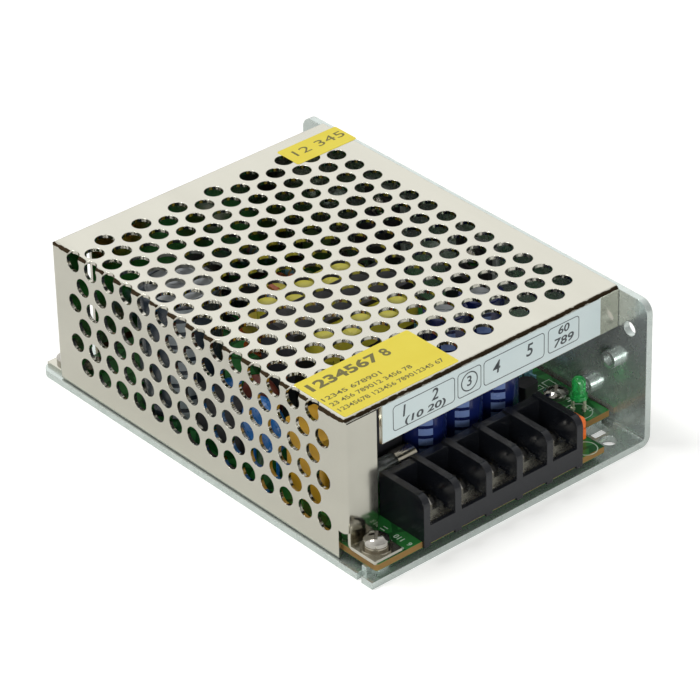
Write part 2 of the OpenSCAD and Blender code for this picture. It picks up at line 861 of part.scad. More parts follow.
module bridge_rectifier() {
    color([0.13, 0.13, 0.14]) translate([bridge_at[0], bridge_at[1], board_top]) {
        translate([0, 0, bridge_lift]) round_block(bridge[0], bridge[1], bridge[2], 0.4);
        for (i = [-1.5 : 1.5])
            translate([-0.4, i * bridge[1] / 4.1 - 0.5, 0]) cube([0.8, 1, bridge_lift]);
    }
}

module reservoir_capacitor() {
    color([0.16, 0.19, 0.26]) translate([bulk_at[0], bulk_at[1], board_top]) can(bulk_r, bulk_h);
}

// ---------- transformer ----------

module transformer_core() {
    window_w = (core_w - centre_limb_w) / 2 - limb;
    color([0.20, 0.20, 0.21]) translate([core_x, core_y, core_low]) difference() {
        translate([-core_w / 2, -core_d / 2, 0]) cube([core_w, core_d, core_h]);
        for (s = [-1, 1])
            translate([s * (centre_limb_w + window_w) / 2, 0, core_h / 2])
                cube([window_w, core_d + 2 * over, core_h - 2 * limb], center = true);
    }
}

module transformer_bobbin() {
    well = core_h - 2 * limb;
    color([0.12, 0.12, 0.13]) translate([core_x, core_y, 0]) difference() {
        union() {
            for (z = [core_low + limb, core_low + core_h - limb - bobbin_t])
                translate([0, 0, z]) round_block(coil_w, coil_d, bobbin_t, 1.5);
            translate([0, 0, core_low + limb]) round_block(sleeve_w, sleeve_d, well, 0.5);
            // the two rails of pins that stand on the board
            for (s = [-1, 1])
                translate([-coil_w / 2, s * pin_rail_y - pin_rail_w / 2, board_top])
                    cube([coil_w, pin_rail_w, core_low + limb - board_top]);
        }
        translate([-centre_limb_w / 2 - loose, -core_d / 2 - loose, core_low])
            cube([centre_limb_w + 2 * loose, core_d + 2 * loose, core_h]);
    }
}

// the taped coil bulges out in front of and behind the core, up to its top
module transformer_winding() {
    low = core_low + limb + bobbin_t;
    high = core_low + core_h - limb + loose;
    color([0.86, 0.80, 0.30]) translate([core_x, core_y, 0]) {
        translate([0, 0, low]) difference() {
            round_block(coil_w - 0.6, coil_d - 0.6, core_h - 2 * limb - 2 * bobbin_t, 3);
            translate([0, 0, -over]) round_block(sleeve_w, sleeve_d, core_h, 0.5);
        }
        translate([0, 0, high]) difference() {
            round_block(coil_wide, coil_d - 0.6, limb - 1, 3);
            cube([core_w, core_d + 2 * loose, core_h], center = true);
        }
    }
}

// ---------- semiconductors on the wall ----------

module wall_part(y) {
    face = wall_in - pad_t;
    difference() {
        union() {
            translate([face - tab_t, y - tab_w / 2, tab_low]) cube([tab_t, tab_w, tab_h]);
            translate([face - pack_t, y - tab_w / 2, tab_low]) cube([pack_t - tab_t + 0.1, tab_w, pack_h]);
        }
        translate([face - pack_t, y, tab_hole_z]) rotate([0, 90, 0])
            cylinder(r = wall_screw_r + 0.3, h = pack_t + over);
    }
    for (i = [-1 : 1])
        translate([face - 2.8, y + i * leg_pitch - part_leg / 2, board_top])
            cube([0.6, part_leg, tab_low - board_top]);
}

module power_transistor() {
    color([0.14, 0.14, 0.15]) wall_part(wall_parts[0]);
}

module output_rectifier() {
    color([0.14, 0.14, 0.15]) wall_part(wall_parts[1]);
}

module insulating_pads() {
    color([0.80, 0.82, 0.80]) for (y = wall_parts)
        translate([wall_in - pad_t, 0, 0]) along_x(pad_t) difference() {
            translate([y - tab_w / 2 - 1.2, tab_low - 1]) square([tab_w + 2.4, tab_h + 2.4]);
            translate([y, tab_hole_z]) circle(wall_screw_r + 0.3);
        }
}

module wall_screws() {
    color([0.78, 0.77, 0.74]) for (y = wall_parts)
        translate([wall_in - pad_t - tab_t, y, tab_hole_z]) rotate([0, -90, 0])
            pan_screw(2.6, 1.9, wall_screw_r, pad_t + tab_t + base_t - 0.2);
}

// ---------- output side ----------

module output_choke_core() {
    color([0.87, 0.82, 0.32]) translate([ring_at[0], ring_at[1] - ring_t / 2, ring_z])
        rotate([-90, 0, 0]) ring(ring_outer, ring_inner, ring_t);
}

// the turns as separate flattened hoops round the ring, foot on the board
module output_choke_winding() {
    turns = 12;
    wire = 1;
    open_angle = 50;
    color([0.78, 0.42, 0.18]) {
        for (k = [0 : turns - 1])
            translate([ring_at[0], ring_at[1], ring_z])
                rotate([0, 90 + open_angle / 2 + k * (360 - open_angle) / (turns - 1), 0])
                    translate([(ring_outer + ring_inner) / 2, 0, 0])
                        turn_hoop(ring_outer - ring_inner + 0.2, ring_t + 0.2, wire);
        for (s = [-1, 1])
            translate([ring_at[0] + s * 2.4, ring_at[1] + s * 4.2, board_top])
                cylinder(r = wire / 2, h = 3.4, $fn = small);
    }
}

module turn_hoop(w, d, wire) {
    translate([0, 0, -wire / 2]) linear_extrude(wire) difference() {
        round_square(w + 2 * wire, d + 2 * wire, wire);
        square([w, d], center = true);
    }
}

module tall_output_capacitors() {
    color([0.12, 0.16, 0.34]) for (p = tall_cans)
        translate([p[0], p[1], board_top]) can(can_r, tall_can_h);
}

module short_output_capacitors() {
    color([0.10, 0.16, 0.42]) for (p = short_cans)
        translate([p[0], p[1], board_top]) can(can_r, short_can_h);
}

// ---------- control parts ----------

// a dual in-line package with its feet on the board
module dual_in_line(w, l, h, pins) {
    translate([0, 0, 0.8]) round_block(w, l, h, 0.2);
    for (s = [-1, 1], i = [0 : pins - 1])
        translate([s * (w / 2 + 0.35) - 0.25, (i - (pins - 1) / 2) * leg_pitch - 0.4, 0])
            cube([0.5, 0.8, 1 + h / 2]);
    for (s = [-1, 1], i = [0 : pins - 1])
        translate([s > 0 ? w / 2 : -w / 2 - 0.35, (i - (pins - 1) / 2) * leg_pitch - 0.4,
                   0.5 + h / 2])
            cube([0.35, 0.8, 0.3]);
}

module control_chip() {
    color([0.12, 0.12, 0.13]) translate([chip_at[0], chip_at[1], board_top])
        dual_in_line(6.4, 9.4, 3.3, 4);
}

module optocoupler() {
    color([0.90, 0.90, 0.88]) translate([coupler_at[0], coupler_at[1], board_top])
        dual_in_line(6.4, 4.6, 3.5, 2);
}

module voltage_reference() {
    color([0.12, 0.12, 0.13]) translate([reference_at[0], reference_at[1], board_top]) {
        translate([0, 0, 2.5]) linear_extrude(4.6) intersection() {
            circle(reference_r);
            translate([-3, -1.6]) square([6, 5]);
        }
        for (i = [-1 : 1]) translate([i * 1.27 - 0.2, 0, 0]) cube([0.4, 0.4, 2.5]);
    }
}

module resistors() {
    color([0.55, 0.75, 0.80]) for (p = resistor_places)
        translate([p[0], p[1], board_top]) axial(resistor_l, 1.15, resistor_span, 1.3);
}

module small_diodes() {
    color([0.12, 0.12, 0.13]) for (p = diode_places)
        translate([p[0], p[1], board_top]) axial(5, 1.3, resistor_span, 1.5);
}

module film_capacitors() {
    color([0.30, 0.45, 0.24]) for (p = film_places)
        translate([p[0], p[1], board_top + 1.5]) {
            round_block(3.4, 7.4, 7.5, 1.2);
            for (s = [-1, 1]) translate([0, s * 2.5, -1.5]) cylinder(r = lead_r, h = 1.5, $fn = small);
        }
}

module wire_links() {
    link_t = 0.6;
    color([0.80, 0.79, 0.75]) for (p = link_places)
        translate([p[0], p[1], board_top]) {
            translate([-link_t / 2, -4, 1]) cube([link_t, 8, link_t]);
            for (s = [-1, 1]) translate([-link_t / 2, s * (4 - link_t / 2) - link_t / 2, 0])
                cube([link_t, link_t, 1]);
        }
}

// ---------- lamp and adjuster ----------

module lamp_body() {
    color([0.10, 0.70, 0.28]) translate([lamp_x, lamp_y, board_top + lamp_lift])
        rotate_extrude() {
            square([lamp_rim_r, lamp_rim_t]);
            square([lamp_r, lamp_h]);
            translate([0, lamp_h]) intersection() {
                circle(lamp_r);
                square(lamp_r + over);
            }
        }
}

module lamp_leads() {
    color([0.85, 0.82, 0.72]) for (s = [-1, 1])
        translate([lamp_x + s * 0.9 - 0.25, lamp_y + s * 0.9 - 0.25, board_top])
            cube([0.5, 0.5, lamp_lift]);
}

// an upright disc with a pocket for the wiper wheel, standing on two side legs
module trimmer_body() {
    color([0.90, 0.38, 0.08]) translate([trimmer_x, trimmer_y, 0]) {
        translate([0, 0, trimmer_z]) rotate([-90, 0, 0]) difference() {
            cylinder(r = trimmer_r, h = trimmer_t);
            translate([0, 0, -over]) cylinder(r = rotor_r + loose, h = pocket_t + over);
            cylinder(r = spindle_r + run, h = trimmer_t + over);
        }
        for (s = [-1, 1]) translate([s * 2.2 - 0.5, -0.4, board_top])
            cube([1, 0.4, 2.4]);
    }
}

// the wiper wheel: a cross-slotted face in the pocket and a spindle through the disc
module trimmer_rotor() {
    slot = 0.7;
    wheel_t = pocket_t;
    color([0.93, 0.90, 0.82]) translate([trimmer_x, trimmer_y + pocket_t - run, trimmer_z])
        rotate([90, 0, 0]) difference() {
            union() {
                cylinder(r = rotor_r, h = wheel_t);
                translate([0, 0, -pocket_t]) cylinder(r = spindle_r, h = 1.5 * pocket_t);
            }
            translate([0, 0, wheel_t]) cube([slot, rotor_r * 1.5, wheel_t], center = true);
            translate([0, 0, wheel_t]) cube([rotor_r * 1.5, slot, wheel_t], center = true);
        }
}

// ---------- underside ----------

module solder_joints() {
    joint_h = 0.7;
    color([0.75, 0.76, 0.77]) translate([0, 0, board_low - joint_h]) {
        for (i = [0 : pole_count - 1]) translate([pole_x(i), tail_y, 0]) cylinder(r = 1, h = joint_h);
        for (p = concat(short_cans, tall_cans), s = [-1, 1])
            translate([p[0] + s * 1.8, p[1], 0]) cylinder(r = 0.8, h = joint_h, $fn = small);
        for (s = [-1, 1]) {
            translate([bulk_at[0] + s * 3.8, bulk_at[1], 0]) cylinder(r = 1, h = joint_h);
            for (i = [-2 : 2])
                translate([core_x + i * 4, core_y + s * pin_rail_y, 0])
                    cylinder(r = 0.9, h = joint_h, $fn = small);
        }
    }
}

chassis();
cover();
insulating_film();
circuit_board();
board_fixing_screws();
ground_screw();
ground_washers();
rear_cover_screw();
label_strip();
front_sticker();
rear_sticker();
terminal_housing();
terminal_contacts();
clamp_plate(0);  // clamp_plate_1
clamp_plate(1);  // clamp_plate_2
clamp_plate(2);  // clamp_plate_3
clamp_plate(3);  // clamp_plate_4
clamp_plate(4);  // clamp_plate_5
terminal_screw(0);  // terminal_screw_1
terminal_screw(1);  // terminal_screw_2
terminal_screw(2);  // terminal_screw_3
terminal_screw(3);  // terminal_screw_4
terminal_screw(4);  // terminal_screw_5
fuse_tube();
fuse_caps();
fuse_clips();
inrush_thermistor();
varistor();
mains_filter_capacitor();
line_choke_core();
line_choke_windings();
safety_capacitors();
bridge_rectifier();
reservoir_capacitor();
transformer_core();
transformer_bobbin();
transformer_winding();
power_transistor();
output_rectifier();
insulating_pads();
wall_screws();
output_choke_core();
output_choke_winding();
tall_output_capacitors();
short_output_capacitors();
control_chip();
optocoupler();
voltage_reference();
resistors();
small_diodes();
film_capacitors();
wire_links();
lamp_body();
lamp_leads();
trimmer_body();
trimmer_rotor();
solder_joints();
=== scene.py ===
import bpy
import math
from mathutils import Matrix, Vector


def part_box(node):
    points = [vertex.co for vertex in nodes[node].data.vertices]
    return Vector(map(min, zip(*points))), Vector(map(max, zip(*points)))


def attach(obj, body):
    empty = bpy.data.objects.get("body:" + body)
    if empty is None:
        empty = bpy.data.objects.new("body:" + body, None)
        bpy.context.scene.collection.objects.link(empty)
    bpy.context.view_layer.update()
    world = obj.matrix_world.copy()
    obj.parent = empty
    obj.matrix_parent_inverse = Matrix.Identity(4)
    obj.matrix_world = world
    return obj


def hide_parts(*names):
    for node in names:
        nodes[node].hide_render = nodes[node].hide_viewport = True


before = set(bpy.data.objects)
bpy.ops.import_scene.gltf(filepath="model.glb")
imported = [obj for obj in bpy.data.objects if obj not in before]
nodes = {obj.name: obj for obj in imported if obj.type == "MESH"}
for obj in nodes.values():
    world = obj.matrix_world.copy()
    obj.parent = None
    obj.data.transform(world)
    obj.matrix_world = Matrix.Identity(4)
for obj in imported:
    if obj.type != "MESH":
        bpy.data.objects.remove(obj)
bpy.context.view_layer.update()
mm = 0.001
print("frame loaded")


def toLinear(hexColour):  # a colour as picked on screen, such as "#d8d4c8", to linear RGBA
    channels = [int(hexColour[i:i + 2], 16) / 255 for i in (1, 3, 5)]
    return tuple(c / 12.92 if c <= 0.04045 else ((c + 0.055) / 1.055) ** 2.4 for c in channels) + (1.0,)


def addNode(material, kind, settings=None, inputs=None):
    node = material.node_tree.nodes.new(kind)
    for name, value in (settings or {}).items():
        setattr(node, name, value)
    for name, value in (inputs or {}).items():
        if isinstance(value, bpy.types.NodeSocket):
            material.node_tree.links.new(value, node.inputs[name])
        else:
            node.inputs[name].default_value = value
    return node


def startMaterial(name, colour, **sockets):  # sockets are set on the shader itself
    material = bpy.data.materials.new(name)
    material.use_nodes = True
    shader = material.node_tree.nodes["Principled BSDF"]
    shader.inputs["Base Color"].default_value = toLinear(colour)
    for key, value in sockets.items():
        shader.inputs[key.replace("_", " ")].default_value = value
    return material, shader


def objectPoint(material, stretch=(1, 1, 1)):
    # object coordinates in millimetres, stretched on one axis for grain
    coords = addNode(material, "ShaderNodeTexCoord")
    scale = tuple(1000 / s for s in stretch)
    return addNode(material, "ShaderNodeMapping", None,
                   {"Vector": coords.outputs["Object"], "Scale": scale}).outputs["Vector"]


def mixTones(material, factor, low, high):  # low and high are hex colours or sockets
    mix = addNode(material, "ShaderNodeMix", {"data_type": "RGBA"}, {"Factor": factor})
    for socket, tone in (("A", low), ("B", high)):
        target = next(i for i in mix.inputs if i.identifier == socket + "_Color")
        if isinstance(tone, bpy.types.NodeSocket):
            material.node_tree.links.new(tone, target)
        else:
            target.default_value = toLinear(tone)
    return next(o for o in mix.outputs if o.identifier == "Result_Color")


def varied(material, shader, point, tones, sizeMm, rough, detail=4):
    # colour drifts between two tones, and gloss between two values, over patches of sizeMm
    patches = addNode(material, "ShaderNodeTexNoise", None,
                      {"Vector": point, "Scale": 1 / sizeMm, "Detail": detail})
    tone = mixTones(material, patches.outputs["Fac"], *tones)
    material.node_tree.links.new(tone, shader.inputs["Base Color"])
    gloss = addNode(material, "ShaderNodeMapRange", None,
                    {"Value": patches.outputs["Fac"], "From Min": 0.3, "From Max": 0.7,
                     "To Min": rough[0], "To Max": rough[1]})
    material.node_tree.links.new(gloss.outputs["Result"], shader.inputs["Roughness"])
    return tone


def grained(material, shader, point, sizeMm, heightMm, detail=3, under=None):
    # under is a bump or bevel node whose normal this grain is laid over
    grain = addNode(material, "ShaderNodeTexNoise", None,
                    {"Vector": point, "Scale": 1 / sizeMm, "Detail": detail})
    bump = addNode(material, "ShaderNodeBump", None,
                   {"Height": grain.outputs["Fac"], "Distance": heightMm * mm, "Strength": 1.0})
    if under:
        material.node_tree.links.new(under.outputs["Normal"], bump.inputs["Normal"])
    material.node_tree.links.new(bump.outputs["Normal"], shader.inputs["Normal"])
    return bump


def dress(material, *nodeNames):  # gives CAD nodes their finish
    for name in nodeNames:
        mesh = nodes[name].data
        mesh.materials.clear()
        mesh.materials.append(material)


cameraView = {"lens": 209.7, "azimuth": -40.17, "elevation": 32.41, "roll": -1.4,
              "aim": (1.84, -1.55, 14.56), "distance": 868.2}  # degrees and millimetres


def makeCamera(view):
    turn, lift = math.radians(view["azimuth"]), math.radians(view["elevation"])
    back = Vector((math.sin(turn) * math.cos(lift), -math.cos(turn) * math.cos(lift), math.sin(lift)))
    bpy.ops.object.camera_add(location=(Vector(view["aim"]) + back * view["distance"]) * mm)
    camera = bpy.context.object
    camera.data.lens = view["lens"]
    camera.data.clip_start = 0.05
    facing = back.to_track_quat("Z", "Y").to_matrix()
    camera.rotation_euler = (facing @ Matrix.Rotation(math.radians(view["roll"]), 3, "Z")).to_euler()
    bpy.context.scene.camera = camera


makeCamera(cameraView)
print("camera placed")

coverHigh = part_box("cover")[1] / mm
labelLow, labelHigh = [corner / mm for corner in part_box("label_strip")]
boardLow, boardHigh = [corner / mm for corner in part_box("circuit_board")]
boardTop = boardHigh.z
sheetGap = 1.3  # mm from the board's left edge to the outer face of the cover's left panel
sheetLeft = boardLow.x - sheetGap
sheetFront = labelHigh.y

# the dark brown colour and the two fold widths below are painted shade: a line laid along the left and front
# folds, where the tight bends reflect dark
coverSheet = {"tones": ("#cccabe", "#bfbdb1"), "rough": (0.09, 0.18), "patch": 9.0,
              "seam": "#3a2f20", "leftFoldShade": 0.82, "frontFoldShade": 0.82}  # widths in mm


def foldShadeBand(material, place, axis, edge, width, wobble):
    # 1 where the surface runs round a fold, on a band width wide that is narrower where wobble is low; the
    # brown line painted there is painted shade, standing for the dark that the tight bend reflects
    run = addNode(material, "ShaderNodeMath", {"operation": "SUBTRACT"},
                  {0: place.outputs[axis], 1: edge * mm})
    drop = addNode(material, "ShaderNodeMath", {"operation": "SUBTRACT"},
                   {0: coverHigh.z * mm, 1: place.outputs["Z"]})
    reach = addNode(material, "ShaderNodeMath", {"operation": "ADD"},
                    {0: run.outputs["Value"], 1: drop.outputs["Value"]})
    limit = addNode(material, "ShaderNodeMapRange", None,
                    {"Value": wobble, "From Min": 0.35, "From Max": 0.6,
                     "To Min": (width - 0.14) * mm, "To Max": width * mm})
    return addNode(material, "ShaderNodeMath", {"operation": "LESS_THAN"},
                   {0: reach.outputs["Value"], 1: limit.outputs["Result"]}).outputs["Value"]


def tinPlatedSteel(look):
    # tin-plated steel sheet: warm silver, nearly a mirror and a little wavy,
    # with a brown-dark line painted along its folds: painted shade for the dark that the tight bends reflect
    material, shader = startMaterial("tinPlatedSteel", look["tones"][0], Metallic=1.0)
    tone = varied(material, shader, objectPoint(material, (1, 5, 1)),
                  look["tones"], look["patch"], look["rough"])
    coords = addNode(material, "ShaderNodeTexCoord")
    place = addNode(material, "ShaderNodeSeparateXYZ", None, {"Vector": coords.outputs["Object"]})
    wobble = addNode(material, "ShaderNodeTexNoise", None,
                     {"Vector": objectPoint(material), "Scale": 0.5, "Detail": 3.0}).outputs["Fac"]
    left = foldShadeBand(material, place, "X", sheetLeft, look["leftFoldShade"], wobble)
    front = foldShadeBand(material, place, "Y", sheetFront, look["frontFoldShade"], wobble)
    # painted shade along both folds, standing for the dark that the bends reflect
    foldShadeMask = addNode(material, "ShaderNodeMath", {"operation": "MAXIMUM"}, {0: left, 1: front})
    seamed = mixTones(material, foldShadeMask.outputs["Value"], tone, look["seam"])
    material.node_tree.links.new(seamed, shader.inputs["Base Color"])
    # punched holes catch the light at their rims, and a sheet is never quite flat
    softEdge = addNode(material, "ShaderNodeBevel", {"samples": 4}, {"Radius": 0.16 * mm})
    waves = grained(material, shader, objectPoint(material), 16.0, 0.05, 1, softEdge)
    # rolling lines, drawn coarser than they are so that they show
    grained(material, shader, objectPoint(material, (1, 14, 1)), 0.5, 0.0016, 3, waves)
    return material


def millAluminium():
    # mill-finish aluminium sheet, a little dulled by its oxide: cool pale grey and mottled,
    # with soft reflections of the board
    material, shader = startMaterial("millAluminium", "#c2cbc7", Metallic=0.74)
    varied(material, shader, objectPoint(material), ("#d2dad6", "#bac4bf"), 2.2, (0.15, 0.33))
    softEdge = addNode(material, "ShaderNodeBevel", {"samples": 4}, {"Radius": 0.14 * mm})
    grained(material, shader, objectPoint(material), 2.4, 0.02, 1, softEdge)
    return material


def nickelPlate(name, tones, rough):
    # nickel-plated steel: bright, slightly yellow, scuffed by the driver
    material, shader = startMaterial(name, tones[0], Metallic=1.0)
    varied(material, shader, objectPoint(material), tones, 0.8, rough)
    grained(material, shader, objectPoint(material), 0.3, 0.002)
    return material


def glossyHousing():
    # moulded PBT for terminal blocks: deep black and glossy, with a slight orange peel and soft edges
    material, shader = startMaterial("glossyHousing", "#0f1013", IOR=1.5, Specular_IOR_Level=0.42)
    varied(material, shader, objectPoint(material), ("#101216", "#181a1f"), 2.5, (0.14, 0.26))
    softEdge = addNode(material, "ShaderNodeBevel", {"samples": 4}, {"Radius": 0.18 * mm})
    grained(material, shader, objectPoint(material), 0.9, 0.012, 2, softEdge)
    return material


def boardLaminate(topMm, thickMm):
    # phenolic laminate with a green solder mask: green skin on both faces, brown core at the edge,
    # and darker lines where copper tracks run under the mask
    material, shader = startMaterial("boardLaminate", "#1d5a28", IOR=1.5)
    coords = addNode(material, "ShaderNodeTexCoord")
    place = addNode(material, "ShaderNodeSeparateXYZ", None, {"Vector": coords.outputs["Object"]})
    mid = (topMm - thickMm / 2) * mm
    offset = addNode(material, "ShaderNodeMath", {"operation": "SUBTRACT"}, {0: place.outputs["Z"], 1: mid})
    depth = addNode(material, "ShaderNodeMath", {"operation": "ABSOLUTE"}, {0: offset.outputs["Value"]})
    skin = addNode(material, "ShaderNodeMath", {"operation": "GREATER_THAN"},
                   {0: depth.outputs["Value"], 1: (thickMm / 2 - 0.06) * mm})
    tint = addNode(material, "ShaderNodeTexNoise", None,
                   {"Vector": objectPoint(material), "Scale": 0.4, "Detail": 5.0})
    mask = mixTones(material, tint.outputs["Fac"], "#1f6a2e", "#34853f")
    cells = addNode(material, "ShaderNodeTexVoronoi",
                    {"distance": "CHEBYCHEV", "feature": "DISTANCE_TO_EDGE"},
                    {"Vector": objectPoint(material), "Scale": 0.16})
    tracks = addNode(material, "ShaderNodeMath", {"operation": "LESS_THAN"},
                     {0: cells.outputs["Distance"], 1: 0.07})
    mask = mixTones(material, tracks.outputs["Value"], mask, "#185625")
    fibres = addNode(material, "ShaderNodeTexNoise", None,
                     {"Vector": objectPoint(material, (4, 4, 0.4)), "Scale": 2.0, "Detail": 3.0})
    core = mixTones(material, fibres.outputs["Fac"], "#6b5026", "#927138")
    colour = mixTones(material, skin.outputs["Value"], core, mask)
    material.node_tree.links.new(colour, shader.inputs["Base Color"])
    rough = addNode(material, "ShaderNodeMapRange", None,
                    {"Value": skin.outputs["Value"], "To Min": 0.8, "To Max": 0.24})
    material.node_tree.links.new(rough.outputs["Result"], shader.inputs["Roughness"])
    return material


def markedSleeve(name, ground, mark, barMm):
    # printed PVC sleeve: the pale stripe that marks one lead, broken by bars of the sleeve's own colour
    material, shader = startMaterial(name, mark, IOR=1.54)
    varied(material, shader, objectPoint(material), (mark, mark), 3.0, (0.2, 0.3))
    coords = addNode(material, "ShaderNodeTexCoord")
    place = addNode(material, "ShaderNodeSeparateXYZ", None, {"Vector": coords.outputs["Object"]})
    steps = addNode(material, "ShaderNodeMath", {"operation": "DIVIDE"},
                    {0: place.outputs["Z"], 1: barMm * mm})
    beat = addNode(material, "ShaderNodeMath", {"operation": "FRACT"}, {0: steps.outputs["Value"]})
    bars = addNode(material, "ShaderNodeMath", {"operation": "LESS_THAN"},
                   {0: beat.outputs["Value"], 1: 0.32})
    colour = mixTones(material, bars.outputs["Value"], mark, ground)
    material.node_tree.links.new(colour, shader.inputs["Base Color"])
    return material


def plainFinish(name, tones, rough, patchMm=3.0, grain=None, **sockets):
    # a coated, lacquered or moulded surface: two close tones, and a grain of (size, height) in mm
    material, shader = startMaterial(name, tones[0], **sockets)
    varied(material, shader, objectPoint(material), tones, patchMm, rough)
    if grain:
        grained(material, shader, objectPoint(material), *grain)
    return material


coverFinish = tinPlatedSteel(coverSheet)
chassisFinish = millAluminium()
screwFinish = nickelPlate("nickelScrew", ("#cecbc3", "#a09d95"), (0.08, 0.18))
washerFinish = nickelPlate("nickelStamping", ("#bdb7a8", "#8e887a"), (0.12, 0.24))
# handled more than the screws, so duller
clampFinish = nickelPlate("dulledClamp", ("#c8c9c4", "#a0a19c"), (0.16, 0.32))
contactFinish = nickelPlate("tinnedBrass", ("#c8c5ba", "#a3a095"), (0.18, 0.34))
housingFinish = glossyHousing()
boardFinish = boardLaminate(boardTop, boardTop - boardLow.z)
labelFinish = plainFinish("printedFilm", ("#bccbcc", "#c8d3d2"), (0.32, 0.42), 8.0, (2.5, 0.006))
stickerFinish = plainFinish("yellowPaper", ("#e6d63c", "#e0cc42"), (0.5, 0.65), 6.0, (0.8, 0.012))
inkFinish = plainFinish("printInk", ("#33383b", "#454a4d"), (0.5, 0.6), 1.0)
# dark ink soaked into yellow paper
paperInk = plainFinish("paperInk", ("#5f592c", "#756e38"), (0.55, 0.7), 0.9)
whiteInk = plainFinish("whiteInk", ("#cfe3d0", "#b4ccb6"), (0.5, 0.65), 1.0)
filmFinish = plainFinish("polyesterFilm", ("#cfd3d1", "#c2c6c4"), (0.2, 0.3), 5.0)
leadFinish = plainFinish("tinnedLead", ("#e4e0cc", "#cfcab4"), (0.2, 0.35), 0.8, None,
                         Metallic=0.7)  # dull tin
fuseGlass = plainFinish("fuseGlass", ("#eef6f3", "#eef6f3"), (0.02, 0.04), 4.0, None,
                        Transmission_Weight=0.95)
capFinish = nickelPlate("nickelCap", ("#d9d3c2", "#c2bba8"), (0.12, 0.22))
brownFinish = plainFinish("brownCoating", ("#5b2418", "#6f3222"), (0.35, 0.5), 1.6, (0.4, 0.02))
blueFinish = plainFinish("blueCoating", ("#1560a8", "#1d74c2"), (0.22, 0.35), 1.6, (0.5, 0.02))
yellowCase = plainFinish("yellowCase", ("#d9a21e", "#e6b531"), (0.35, 0.5), 2.0, (0.3, 0.01))
ferriteFinish = plainFinish("sinteredFerrite", ("#202024", "#2d2d32"), (0.45, 0.6), 0.8, (0.2, 0.03))
copperFinish = plainFinish("enamelledCopper", ("#b05a22", "#8d3f14"), (0.22, 0.35), 0.7, None,
                           Metallic=0.9, Coat_Weight=0.6)
greySleeve = plainFinish("greySleeve", ("#2c353e", "#38424c"), (0.22, 0.32), 3.0)
blueSleeve = plainFinish("blueSleeve", ("#0f1844", "#152158"), (0.16, 0.26), 3.0, (4.0, 0.02))
greyStripe = markedSleeve("greyStripe", "#2c353e", "#9aa3a8", 3.2)
blueStripe = markedSleeve("blueStripe", "#0f1844", "#6a7eac", 2.4)
canTopFinish = plainFinish("aluminiumTop", ("#a3a7aa", "#8b8f92"), (0.28, 0.4), 1.5, (0.3, 0.006),
                           Metallic=1.0)
tapeFinish = plainFinish("yellowTape", ("#c9c033", "#d8cf50"), (0.2, 0.3), 4.0, (1.2, 0.02))
padFinish = plainFinish("siliconePad", ("#a9adab", "#bcc0be"), (0.6, 0.75), 1.2)
powderFinish = plainFinish("powderCore", ("#d9cb45", "#e3d65c"), (0.4, 0.5), 1.5, (0.3, 0.02))
whiteFinish = plainFinish("whiteMoulding", ("#dcdcd6", "#e6e6e0"), (0.4, 0.5), 1.5)
resistorFinish = plainFinish("resistorLacquer", ("#6fa3b3", "#7fb3c2"), (0.3, 0.4), 0.8)
greenFinish = plainFinish("greenCoating", ("#3f5a26", "#4d6b30"), (0.3, 0.4), 1.2, (0.4, 0.02))
lensFinish = plainFinish("tintedEpoxy", ("#2fd066", "#58e88a"), (0.02, 0.05), 0.7, (0.5, 0.04),
                         Transmission_Weight=0.75, Coat_Weight=0.6, IOR=1.5)
orangeFinish = plainFinish("orangeMoulding", ("#e0641a", "#ea7426"), (0.35, 0.5), 1.0, (0.3, 0.01))
creamFinish = plainFinish("creamMoulding", ("#e2dbc4", "#d7cfb6"), (0.4, 0.5), 1.0)
solderFinish = nickelPlate("tinSolder", ("#c7c9cb", "#b3b6b8"), (0.2, 0.35))
darkMoulding = plainFinish("packageMoulding", ("#18181a", "#222225"), (0.5, 0.65), 1.0, (0.15, 0.01))
bandFinishes = [plainFinish("band" + tone, (one, two), (0.3, 0.4), 0.6) for tone, one, two in
                (("Brown", "#5a2f16", "#6b3a1d"), ("Black", "#151515", "#202020"),
                 ("Red", "#b3281c", "#c2362a"), ("Gold", "#b08a35", "#c29c46"))]
bandSilver = plainFinish("bandSilver", ("#c3c3bf", "#b3b3af"), (0.3, 0.4), 0.6)

terminalScrews = ["terminal_screw_%d" % k for k in range(1, 6)]
clampPlates = ["clamp_plate_%d" % k for k in range(1, 6)]
dress(coverFinish, "cover")
dress(chassisFinish, "chassis")
dress(screwFinish, "board_fixing_screws", "ground_screw", "rear_cover_screw", "wall_screws",
      *terminalScrews)
dress(washerFinish, "ground_washers")
dress(clampFinish, *clampPlates)
dress(contactFinish, "terminal_contacts", "wire_links")
dress(capFinish, "fuse_clips", "fuse_caps")
dress(leadFinish, "lamp_leads")
dress(housingFinish, "terminal_housing", "transformer_bobbin")
dress(darkMoulding, "bridge_rectifier", "power_transistor", "output_rectifier", "control_chip",
      "voltage_reference", "small_diodes")
dress(boardFinish, "circuit_board")
dress(labelFinish, "label_strip")
dress(filmFinish, "insulating_film")
dress(fuseGlass, "fuse_tube")
dress(brownFinish, "inrush_thermistor")
dress(blueFinish, "varistor", "safety_capacitors")
dress(yellowCase, "mains_filter_capacitor")
dress(ferriteFinish, "line_choke_core", "transformer_core")
dress(copperFinish, "line_choke_windings", "output_choke_winding")
dress(greySleeve, "reservoir_capacitor")
dress(blueSleeve, "tall_output_capacitors", "short_output_capacitors")
dress(tapeFinish, "transformer_winding")
dress(padFinish, "insulating_pads")
dress(powderFinish, "output_choke_core")
dress(whiteFinish, "optocoupler")
dress(resistorFinish, "resistors")
dress(greenFinish, "film_capacitors")
dress(lensFinish, "lamp_body")
dress(orangeFinish, "trimmer_body")
dress(creamFinish, "trimmer_rotor")
dress(solderFinish, "solder_joints")
dress(stickerFinish, "front_sticker", "rear_sticker")
print("finishes made")


